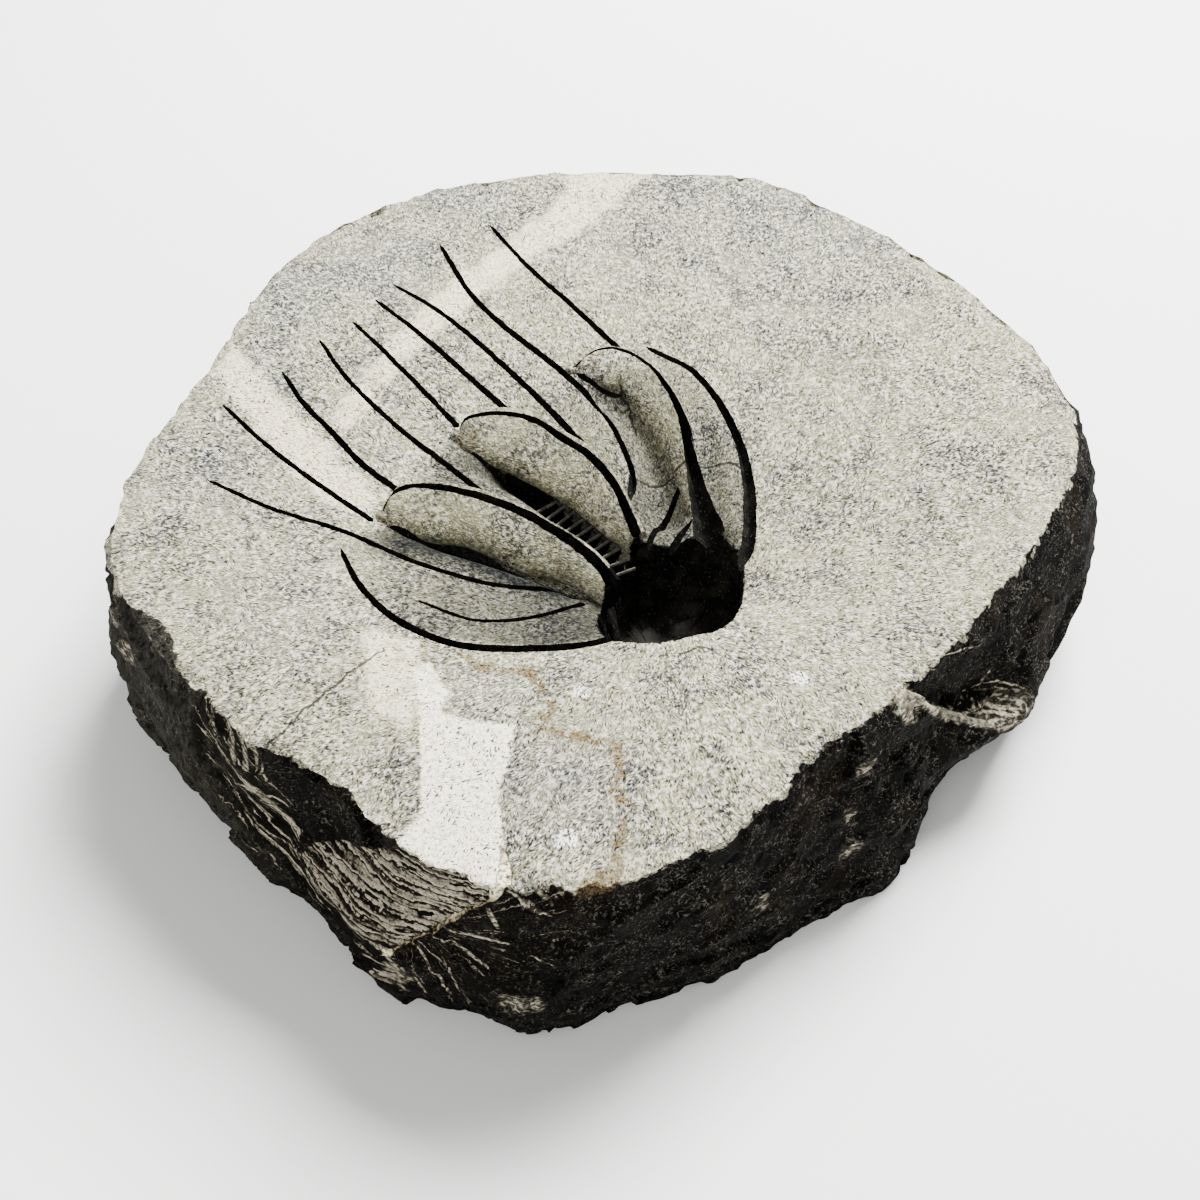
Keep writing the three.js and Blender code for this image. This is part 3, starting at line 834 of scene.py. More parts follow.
GROOVES = (
    Groove(((-244, -14), (-203, -36), (-160, -51), (-105, -75), (-69, -84), (-28, -82)), (2.5, 4)),
    Groove(((-244, 52), (-216, 21), (-189, -4), (-141, -42)), (2.5, 4)),
    Groove(((-210, 83), (-192, 53), (-174, 32), (-153, 6), (-124, -19)), (2.5, 5)),
    Groove(((-189, 114), (-173, 86), (-124, 30), (-97, 6), (-74, -14)), (2.5, 4.5)),
    Groove(((-169, 132), (-145, 103), (-120, 72), (-94, 40)), (2.5, 4)),
    Groove(((-156, 155), (-130, 128), (-75, 68), (-56, 48)), (2.5, 5)),
    Groove(((-145, 171), (-119, 150), (-81, 110), (-37, 58), (-15, 30)), (2.5, 5)),
    Groove(
        ((-116, 214), (-88, 155), (-24, 84), (-4, 61), (10, 33), (17, 7), (14, -14)), (3, 5.5),
        point=14,
    ),
    Groove(((-82, 236), (-52, 188), (-21, 147), (9, 107)), (2.5, 4.5)),
    Groove(((26, 110), (55, 87), (74, 54), (86, 14), (88, -24), (83, -56), (70, -72)), (2.5, 9)),
    Groove(
        ((-158, -66), (-144, -94), (-121, -119), (-95, -134), (-35, -137), (-1, -130), (14, -122)),
        (2.5, 7),
    ),
    Groove(((-111, -103), (-73, -116), (-45, -110), (-13, -91)), (1.6, 3.6)),
    Groove(((46, 4), (41, -7), (35, -20), (24, -47)), (5, 4)),
    Groove(((53, -25), (46, -36), (37, -52)), (3.5, 5)),
)
WEDGE = Groove(
    (
        (-22, 91), (-12, 101), (1, 106), (13, 103), (28, 90), (40, 69), (49, 42), (53, 18),
        (57, -9), (62, -44),
    ),
    (2.5, 19), power=3, depth=10, rise=8,
)
LOBES = (
    Lobe(
        (
            (-136, -37, 131), (-132, -27, 134), (-122, -20, 134), (-104, -20, 134), (-86, -24, 133),
            (-69, -30, 132), (-51, -38, 130), (-34, -49, 128), (-16, -62, 125), (-3, -74, 121),
            (4, -86, 118),
        ),
        (
            (-136, -40, 127), (-130, -46, 123), (-103, -50, 119), (-86, -52, 118), (-68, -60, 117),
            (-51, -69, 115), (-33, -73, 113), (-16, -79, 111), (-6, -87, 109), (1, -91, 109),
        ),
        10, (1.8, 6.5),
    ),
    Lobe(
        (
            (-95, 33, 131), (-90, 41, 133), (-81, 45, 133), (-65, 46, 133), (-46, 40, 133),
            (-28, 26, 131), (-10, 11, 129), (5, -10, 125), (14, -30, 118), (19, -42, 112),
        ),
        (
            (-94, 29, 127), (-87, 20, 123), (-64, 12, 119), (-46, 1, 117), (-27, -11, 114),
            (-16, -20, 112), (-2, -33, 109), (9, -40, 106), (16, -45, 104),
        ),
        8, (1.8, 5.5),
    ),
    Lobe(
        (
            (-22, 91, 131), (-12, 101, 134), (1, 106, 135), (13, 103, 135), (28, 90, 134),
            (40, 69, 133), (49, 42, 131), (53, 18, 128), (57, -9, 123), (61, -36, 118),
        ),
        (
            (-20, 90, 128), (-8, 82, 125), (9, 81, 121), (15, 73, 119), (22, 62, 117),
            (34, 40, 116), (43, 14, 115), (50, -14, 113), (57, -40, 112),
        ),
        10, None, (3.0, 4.0), 0.3,
    ),
)
SLOTS = (
    Slot(((-131, -44), (-121, -48), (-102, -51), (-84, -56), (-62, -64)), (3.2, 1.8)),
    Slot(((-86, 21), (-70, 14), (-54, 4), (-38, -8)), (1.8, 6.5)),
    Slot(((-19, 88), (-8, 81), (2, 80), (11, 78)), (2.4, 1.6)),
)


# ---------------------------------------------------------------- finishes


def linear(colour: str) -> tuple[float, float, float, float]:
    """An sRGB hex colour as linear RGBA."""
    parts = (int(colour[k:k + 2], 16) / 255 for k in (1, 3, 5))
    return (*(c / 12.92 if c <= 0.04045 else ((c + 0.055) / 1.055) ** 2.4 for c in parts), 1.0)


class Node(Enum):
    """The nodes that materials use: type, wanted output, inputs in the order of add, settings.

    A mixing node keeps a separate set of numbered inputs and outputs for each type of value.
    """

    PLACE = ("TexCoord", "Object", (), {})
    FIELD = ("Attribute", "Fac", (), {})
    FLOW = ("Attribute", "Vector", (), {})
    NOISE = ("TexNoise", 0, ("Vector", "Scale", "Detail", "Roughness", "Distortion"), {})
    NOISE_COLOUR = ("TexNoise", "Color", ("Vector", "Scale", "Detail"), {})
    BLEND = ("Mix", 2, (6, 7, "Factor"), {"data_type": "RGBA"})
    SHADE = ("Mix", 2, (6, 7, "Factor"), {"data_type": "RGBA", "blend_type": "MULTIPLY"})
    CHOOSE = ("Mix", 0, (2, 3, "Factor"), {"data_type": "FLOAT"})
    SPAN = ("MapRange", 0, ("Value", "From Min", "From Max", "To Min", "To Max"), {})
    PLUS = ("Math", 0, (0, 1), {"operation": "ADD"})
    TIMES = ("Math", 0, (0, 1), {"operation": "MULTIPLY"})
    TIMES_PLUS = ("Math", 0, (0, 1, 2), {"operation": "MULTIPLY_ADD"})
    OVER = ("Math", 0, (0, 1), {"operation": "DIVIDE"})
    MOST = ("Math", 0, (0, 1), {"operation": "MAXIMUM"})
    SIZE = ("Math", 0, (0,), {"operation": "ABSOLUTE"})
    SAW = ("Math", 0, (0,), {"operation": "FRACT"})
    ZIGZAG = ("Math", 0, (0, 1), {"operation": "PINGPONG"})
    LESS = ("VectorMath", 0, (0, 1), {"operation": "SUBTRACT"})
    STRETCH = ("VectorMath", 0, (0, 1), {"operation": "MULTIPLY"})
    STEP = ("VectorMath", 0, (0, 1, 2), {"operation": "MULTIPLY_ADD"})
    UNIT = ("VectorMath", 0, (0,), {"operation": "NORMALIZE"})
    SIDEWAYS = ("SeparateXYZ", "Y", (0,), {})
    BUMP = ("Bump", 0, ("Strength", "Distance", "Height"), {})
    SURFACE = ("BsdfPrincipled", 0, ("Base Color", "Roughness", "Specular IOR Level", "Normal"), {})
    OUTPUT = ("OutputMaterial", None, ("Surface",), {})


class Recipe:
    """A material's nodes, added one after another."""

    def __init__(self, name: str) -> None:
        """An empty material of that name."""
        self.material = bpy.data.materials.new(name)
        self.material.use_nodes = True
        self.tree = self.material.node_tree
        self.tree.nodes.clear()

    def add(self, node: Node, *values: object, **settings: object) -> Socket:
        """Adds one node.

        Args:
            node: which one.
            values: what its inputs hold, in their order: an output, a hex colour or numbers.
            settings: more of the node's own properties.

        Returns:
            The output that the node is wanted for.
        """
        kind, output, inputs, fixed = node.value
        made = self.tree.nodes.new("ShaderNode" + kind)
        for key, value in {**fixed, **settings}.items():
            setattr(made, key, value)
        for key, value in zip(inputs, values):
            if isinstance(value, Socket):
                self.tree.links.new(value, made.inputs[key])
            else:
                made.inputs[key].default_value = linear(value) if isinstance(value, str) else value
        return None if output is None else made.outputs[output]


def per_mm(size: float) -> float:
    """The scale of a texture whose cells are that many mm wide, on coordinates in metres."""
    return 1 / (size * MM)


STRAND_GROUPS = 3  # neighbouring strokes are drawn apart, so that no false one appears between them
FIELDS = (  # per-corner numbers that the materials read
    "pale", "cream", "cool_and_shade", "window", "lobe", "hollow", "soot_and_shade", "vein", "vein_on", "crack",
    "crack_on", "stain", "scuff", "ribs", "broad", "ashen", "ochre", "ochre_on", "blob", "bruised",
    "rusty", *(f"strand{part}_{group}" for part in ("", "_half") for group in range(STRAND_GROUPS)),
)


class MarkedRecipe(Recipe):
    """A recipe that also reads the mesh's fields, and lets them stray by noise."""

    def __init__(self, name: str) -> None:
        """An empty material of that name, with the place and every field at hand."""
        super().__init__(name)
        self.at = self.add(Node.PLACE)
        self.field = {name: self.add(Node.FIELD, attribute_name=name) for name in FIELDS}

    def patches(self, size: float, detail: float, *span: float) -> Socket:
        """Noise with cells that many mm wide, carried from a range to 0 to 1 or to another."""
        return self.add(Node.SPAN, self.add(Node.NOISE, self.at, per_mm(size), detail), *span)

    def strayed(self, value: object, size: float, detail: float, amount: float) -> Socket:
        """A value that strays by noise, up and down by half of an amount."""
        stray = self.add(Node.PLUS, self.add(Node.NOISE, self.at, per_mm(size), detail), -0.5)
        return self.add(Node.TIMES_PLUS, stray, amount, value)

    def line(self, name: str, size: float, wander: float, half: float, soft: float) -> Socket:
        """A thin line, drawn where a wandering signed distance is small and its mask is on.

        Args:
            name: the field of the distance; the mask's has _on after it.
            size: the cells of the wandering, mm.
            wander: how far it goes, mm.
            half: half the line's breadth, mm.
            soft: how much of that fades out, mm.

        Returns:
            1 on the line, 0 off it.
        """
        away = self.add(Node.SIZE, self.strayed(self.field[name], size, 3, wander))
        drawn = self.add(Node.SPAN, away, half, half - soft)
        return self.add(Node.TIMES, drawn, self.field[name + "_on"])

    def layered(self, colour: str | Socket, *layers: tuple[str | Socket, Socket]) -> Socket:
        """A colour with others laid over it in turn, each by its own share."""
        for tint, share in layers:
            colour = self.add(Node.BLEND, colour, tint, share)
        return colour


@dataclass(frozen=True)
class CrystallineStone:
    """Dark feldspar-rich rock whose top is bush-hammered.

    Hammering bruises the crystals, so the top is pale grey with short dark flecks and whitish
    scratches that run away from the pit. The broken sides keep the rock's own near-black, with
    glinting crystals, and chisel furrows show bruised ridges on the left front.
    """

    pale: str = "#87856a"
    pale_dim: str = "#383732"
    fleck: str = "#101115"
    bruise: str = "#f2ecd6"
    cream: str = "#fbeec8"
    # bluish grey of the top, also used as painted shade over its back
    cool_and_shade: str = "#4c5056"
    window: str = "#fff8d8"
    # tint of the painted shade in the hollows and under the lobes' lips
    ground: str = "#42454b"
    # tint of the painted shade on the lobes' faces
    lobe: str = "#b6b5ad"
    brown: str = "#473822"
    rust: str = "#6f5c3a"
    crack: str = "#191815"
    chalk: str = "#f4f4f1"
    # black of the pit's soot, also used as painted shade under the lobes and in the scar above the
    # ledge
    soot_and_shade: str = "#040404"
    dark: str = "#010101"
    dark_dim: str = "#080807"
    sheen: str = "#10100e"
    ashen: str = "#2b2a24"
    crystal: str = "#625f56"
    tan: str = "#150f07"
    ridge: str = "#aaa38e"
    # the painted shaded side of a chisel rib
    ridge_shade: str = "#312c24"
    valley: str = "#070502"
    ochre: str = "#a09372"
    roughness: float = 0.85
    specular: float = 0.03

    def streaks(self, r: MarkedRecipe) -> Socket:
        """Hammer strokes, which run away from the pit, more or less.

        Args:
            r: the material.

        Returns:
            The sum of a fine noise at four places along the stroke, 0.44 mm apart.
        """
        add = r.add
        middle = (*((PIT_CENTRE - FRAME_SHIFT[:2]) * MM), 0.0)
        away = add(Node.UNIT, add(Node.STRETCH, add(Node.LESS, r.at, middle), (1, 1, 0)))
        astray = add(Node.LESS, add(Node.NOISE_COLOUR, r.at, per_mm(9), 1.0), (0.5, 0.5, 0.5))
        away = add(Node.UNIT, add(Node.STEP, astray, (4.0, 4.0, 0.0), away))
        steps = ((step * MM,) * 3 for step in (-0.66, -0.22, 0.22, 0.66))
        streak, *others = (
            add(Node.NOISE, add(Node.STEP, away, step, r.at), per_mm(0.95), 1.0) for step in steps
        )
        for sample in others:
            streak = add(Node.PLUS, streak, sample)
        return streak

    def dressed(self, r: MarkedRecipe, streak: Socket, fine: Socket) -> Socket:
        """The pale hammered top, with its stains, rusty veins, flecks and scratches, and with
        painted shade on the lobes, in the hollows and under the lobes' lips.

        Args:
            r: the material.
            streak: the hammer strokes.
            fine: fine grain.

        Returns:
            The top's colour.
        """
        add, field, patches, strayed = r.add, r.field, r.patches, r.strayed
        dots = add(Node.NOISE, r.at, per_mm(2.4), 3)
        cloudy = add(Node.PLUS, dots, add(Node.TIMES, add(Node.NOISE, r.at, per_mm(30), 5), 0.9))
        # bluish tone of the top, and painted shade over its back
        bluish = add(Node.MOST, field["cool_and_shade"], patches(7, 4, 0.5, 0.66))
        mottled = add(Node.SPAN, dots, 0.36, 0.56, 0.5, 1)
        creamy = add(Node.SPAN, strayed(field["cream"], 14, 4, 1.0), 0.35, 0.7, 0, 0.62)
        pane = add(Node.SPAN, strayed(field["window"], 4, 4, 7), -0.8, 1.2, 0, 0.95)
        stain = add(Node.TIMES, field["stain"], 0.75)
        top = r.layered(
            self.pale_dim,
            (self.pale, add(Node.SPAN, cloudy, 0.76, 1.04)),
            (self.cool_and_shade, add(Node.TIMES, bluish, 0.45)),
            (self.cream, add(Node.TIMES, creamy, mottled)),
            (self.window, add(Node.TIMES, pane, mottled)),
            (self.bruise, add(Node.SPAN, streak, 2.1, 2.45, 0, 0.5)),
            (self.bruise, patches(3.2, 4, 0.5, 0.68, 0, 0.5)),
            (self.brown, add(Node.TIMES, patches(5, 4, 0.42, 0.68), stain)),
        )
        # painted shade: the lobes' faces darker, most towards their lips
        top = add(Node.SHADE, top, self.lobe, field["lobe"])
        # painted shade in the hollows, between the lobes and under their lips
        top = add(Node.SHADE, top, self.ground, field["hollow"])

        broken = add(Node.TIMES, patches(5, 5, 0.36, 0.47), patches(16, 2, 0.34, 0.48, 0.5, 1))
        veined = add(Node.TIMES, r.line("vein", 12, 15, 4.4, 2.5), broken)
        spots = add(Node.SPAN, strayed(field["rusty"], 5, 4, 1.2), 0.45, 0.65)
        spots = add(Node.TIMES, spots, add(Node.SPAN, fine, 0.35, 0.5))
        rusty = add(Node.MOST, veined, spots)
        rusty = add(Node.TIMES, rusty, patches(1.5, 3, 0.38, 0.54, 0.45, 1))
        iron = add(Node.BLEND, self.brown, self.rust, patches(2.0, 3, 0.42, 0.54))
        plain = add(Node.SPAN, field["lobe"], 0, 0.6, 1, 0.35)
        scuffed = add(Node.SPAN, strayed(field["scuff"], 6, 3, 1.2), 0.45, 0.65)
        return r.layered(
            top,
            (iron, add(Node.TIMES, rusty, 0.95)),
            (self.fleck, add(Node.TIMES, add(Node.SPAN, streak, 1.78, 1.58, 0, 0.92), plain)),
            (self.fleck, add(Node.TIMES, add(Node.SPAN, fine, 0.4, 0.26, 0, 0.7), plain)),
            (self.crack, add(Node.TIMES, r.line("crack", 7, 5, 1.1, 0.5), 0.85)),
            (self.chalk, add(Node.TIMES, add(Node.SPAN, streak, 1.9, 2.15), scuffed)),
        )

    def broken(self, r: MarkedRecipe) -> Socket:
        """The black broken sides, with ash and curls of small pale crystals.

        Args:
            r: the material.

        Returns:
            Their colour before any chisel stroke.
        """
        add, patches = r.add, r.patches
        upright = add(Node.STRETCH, r.at, (1.0, 1.0, 0.2))
        ash = add(Node.SPAN, add(Node.NOISE, upright, per_mm(3), 5), 0.36, 0.6, 0.1, 1)
        curl = add(Node.SIZE, add(Node.PLUS, add(Node.NOISE, r.at, per_mm(4.5), 3), -0.5))
        curls = add(Node.TIMES, add(Node.SPAN, curl, 0.032, 0.008), patches(3.2, 2, 0.47, 0.6))
        curls = add(Node.TIMES, curls, patches(19, 5, 0.42, 0.6, 0.08, 0.75))
        crystals = add(Node.TIMES, patches(1.4, 4, 0.56, 0.76), patches(15, 5, 0.42, 0.64, 0.08, 1))
        return r.layered(
            self.dark,
            (self.dark_dim, patches(7, 6, 0.42, 0.6)),
            (self.sheen, patches(24, 6, 0.47, 0.64, 0, 0.62)),
            (self.ashen, add(Node.TIMES, r.field["ashen"], ash)),
            (self.tan, patches(34, 5, 0.52, 0.68, 0, 0.6)),
            (self.crystal, add(Node.MOST, crystals, curls)),
        )

    def chiselled(self, r: MarkedRecipe, side: Socket) -> tuple[Socket, Socket]:
        """Chisel strokes: wide ribs parted by thin dark lines, and elsewhere thin pale lines.

        Args:
            r: the material.
            side: the colour of the broken sides.

        Returns:
            The sides' colour with the strokes, and how far the strokes stand out.
        """
        add, field, patches, strayed = r.add, r.field, r.patches, r.strayed
        flow = add(Node.FLOW, attribute_name="flow")
        stroke = strayed(add(Node.NOISE, flow, 1.0, 3.0, 0.6, 0.3), 2.2, 4, 0.11)
        carved = add(Node.SPAN, field["ribs"], -0.28, -0.05)
        swing = add(Node.TIMES, add(Node.PLUS, stroke, -0.5), 3.2)
        across = strayed(add(Node.PLUS, add(Node.SIDEWAYS, flow), swing), 3.2, 4, 1.0)
        wave = add(Node.ZIGZAG, across, 0.5)
        breaks = add(Node.NOISE, flow, 2.3, 4.0)
        uneven = add(Node.PLUS, breaks, -0.5)
        broad = add(Node.SPAN, add(Node.PLUS, wave, add(Node.TIMES, uneven, 0.9)), 0.13, 0.23)
        thin = add(Node.TIMES, carved, add(Node.SPAN, breaks, 0.54, 0.6))
        thin = add(Node.TIMES, add(Node.SPAN, wave, 0.11, 0.05), thin)
        narrow = add(Node.SPAN, add(Node.PLUS, stroke, field["ribs"]), 0.58, 0.61)
        narrow = add(Node.MOST, thin, narrow)
        # painted shade across each rib: pale on one side, dim on the other, as if lit across its
        # relief
        rib_shade = add(Node.PLUS, add(Node.SAW, across), add(Node.TIMES, uneven, 1.6))
        rib = r.layered(
            self.ridge,
            (self.ridge_shade, add(Node.SPAN, rib_shade, 0.3, 0.9)),
            (self.valley, patches(1.8, 4, 0.47, 0.34, 0, 0.8)),
        )
        wide = add(Node.SPAN, strayed(field["broad"], 8, 3, 0.8), 0.4, 0.6)
        side = r.layered(
            side,
            (self.valley, add(Node.TIMES, carved, patches(9, 3, 0.3, 0.55, 0.3, 0.95))),
            (rib, add(Node.CHOOSE, narrow, broad, wide)),
        )
        ragged = patches(2.6, 4, 0.38, 0.54, 0.15, 1)
        for group in range(STRAND_GROUPS):
            strand = add(Node.SIZE, strayed(field[f"strand_{group}"], 5, 4, 3))
            strand = add(Node.OVER, strand, add(Node.MOST, field[f"strand_half_{group}"], 0.02))
            side = r.layered(
                side,
                (self.valley, add(Node.SPAN, strand, 2.0, 1.3, 0, 0.8)),
                (rib, add(Node.TIMES, add(Node.SPAN, strand, 1.25, 0.5), ragged)),
            )
        return side, add(Node.TIMES, add(Node.PLUS, stroke, add(Node.TIMES, wave, 0.4)), carved)

    def bruised(self, r: MarkedRecipe, side: Socket, fine: Socket) -> Socket:
        """The sides with pale bruises, which are made of splinters, and spots of rust.

        Args:
            r: the material.
            side: the sides' colour.
            fine: fine grain.

        Returns:
            The sides' finished colour.
        """
        add, field, patches, strayed = r.add, r.field, r.patches, r.strayed
        stretched = add(Node.STRETCH, r.at, (0.35, 0.35, 1.0))
        light = add(Node.SPAN, add(Node.NOISE, stretched, per_mm(1.5), 3), 0.46, 0.6, 0.06, 1)
        light = add(Node.TIMES, light, patches(6, 4, 0.4, 0.54, 0.15, 1))
        heavy = add(Node.SPAN, field["bruised"], 0.75, 1.2)
        heavy = add(Node.TIMES, heavy, patches(3, 4, 0.34, 0.6, 0.1, 0.7))
        where = add(Node.SPAN, strayed(field["bruised"], 6, 5, 0.9), 0.25, 0.85)
        spots = add(Node.SPAN, strayed(field["rusty"], 5, 4, 1.2), 0.5, 0.9)
        return r.layered(
            side,
            (self.ridge, add(Node.TIMES, where, add(Node.MOST, light, heavy))),
            (self.rust, add(Node.TIMES, spots, add(Node.SPAN, fine, 0.4, 0.6, 0, 0.5))),
        )

    def make(self) -> bpy.types.Material:
        """Builds the material.

        The sides and the top meet at the rim. Over both lie the pale mineral that fills the
        split, with a dark edge, and the soot of the pit and the cuts, which also paints shade
        under the lobes and in the scar above the ledge.

        Returns:
            The finished material.
        """
        r = MarkedRecipe("bush-hammered crystalline stone")
        add, field, strayed = r.add, r.field, r.strayed
        streak, fine = self.streaks(r), add(Node.NOISE, r.at, per_mm(1.1), 1)
        side, relief = self.chiselled(r, self.broken(r))
        upper = add(Node.SPAN, strayed(strayed(field["pale"], 16, 2, 12), 4, 4, 6), -0.6, 0.6)
        far = add(Node.SIZE, strayed(field["ochre"], 5, 5, 5))
        far = add(Node.PLUS, far, add(Node.TIMES, strayed(field["blob"], 5, 5, 1.4), -3.0))
        edge = add(Node.TIMES, add(Node.SPAN, far, 1.6, 0.9, 0, 0.7), field["ochre_on"])
        filled = r.patches(2.4, 4, 0.4, 0.52, 0.1, 1)
        filled = add(Node.TIMES, add(Node.SPAN, far, 0.85, 0.2), filled)
        mineral = add(Node.SPAN, strayed(field["blob"], 4, 4, 1), 0.3, 0.75)
        mineral = add(Node.BLEND, self.ochre, self.cream, mineral)
        mineral = add(Node.BLEND, self.rust, mineral, add(Node.SPAN, far, 0.8, 0.0))
        colour = r.layered(
            self.bruised(r, side, fine),
            (self.dressed(r, streak, fine), upper),
            (self.valley, edge),
            (mineral, add(Node.TIMES, filled, field["ochre_on"])),
            # soot of the pit, with painted shade under the lobes and painted shadow in the ledge's
            # scar
            (self.soot_and_shade, add(Node.SPAN, strayed(field["soot_and_shade"], 5, 4, 10), -0.6, 0.8)),
        )
        height = add(Node.PLUS, add(Node.TIMES, streak, 0.18), fine)
        height = add(Node.PLUS, height, add(Node.TIMES, relief, 4.0))
        normal = add(Node.BUMP, 0.7, 0.8 * MM, height)
        add(Node.OUTPUT, add(Node.SURFACE, colour, self.roughness, self.specular, normal))
        return r.material


@dataclass(frozen=True)
class BlackenedCut:
    """The same rock where it is cut deep: sooty black and rough, with a few pale crystals."""

    black: str = "#0b0b0a"
    dim: str = "#211f1a"
    sheen: str = "#34332f"
    crystal: str = "#3f3d38"
    roughness: float = 0.8
    specular: float = 0.03

    def make(self) -> bpy.types.Material:
        """Builds the material.

        Returns:
            The finished material.
        """
        recipe = Recipe("blackened cut stone")
        add = recipe.add
        at = add(Node.PLACE)
        speck = add(Node.NOISE, at, per_mm(1.5), 1.0)
        cloudy = add(Node.SPAN, add(Node.NOISE, at, per_mm(9), 4.0), 0.45, 0.7)
        colour = add(Node.BLEND, self.black, self.dim, cloudy)
        deep = add(Node.SPAN, add(Node.FIELD, attribute_name="soot_and_shade"), 12.0, 24.0)
        drift = add(Node.SPAN, add(Node.NOISE, at, per_mm(21), 5.0), 0.47, 0.63)
        colour = add(Node.BLEND, colour, self.sheen, add(Node.TIMES, deep, drift))
        colour = add(Node.BLEND, colour, self.crystal, add(Node.SPAN, speck, 0.65, 0.72))
        normal = add(Node.BUMP, 0.6, 0.8 * MM, speck)
        add(Node.OUTPUT, add(Node.SURFACE, colour, self.roughness, self.specular, normal))
        return recipe.material


@dataclass(frozen=True)
class GroundStone:
    """The same rock ground smooth, not hammered: mid-grey with a soft mottle."""

    low: str = "#43423c"
    high: str = "#6a685f"
    roughness: float = 0.7
    specular: float = 0.2

    def make(self) -> bpy.types.Material:
        """Builds the material.

        Returns:
            The finished material.
        """
        recipe = Recipe("ground stone")
        add = recipe.add
        at = add(Node.PLACE)
        mottle = add(Node.NOISE, at, per_mm(3), 3.0)
        share = add(Node.SPAN, mottle, 0.35, 0.65)
        colour = add(Node.BLEND, self.low, self.high, share)
        shader = add(Node.SURFACE, colour, self.roughness, self.specular)
        add(Node.OUTPUT, shader)
        return recipe.material


# ---------------------------------------------------------------- the finished stone


def near(spots: Rows, points: np.ndarray) -> np.ndarray:
    """The strongest of several round soft spots at each point.

    Args:
        spots: (place, radius, strength) rows, the place having as many numbers as a point.
        points: (n, 2) or (n, 3) places in mm.

    Returns:
        A strength for each point.
    """
    total = np.zeros(len(points))
    for *place, radius, strength in spots:
        away = np.linalg.norm(points - np.array(place), axis=-1)
        total = np.maximum(total, strength * smoothstep(radius, 0.3 * radius, away))
    return total


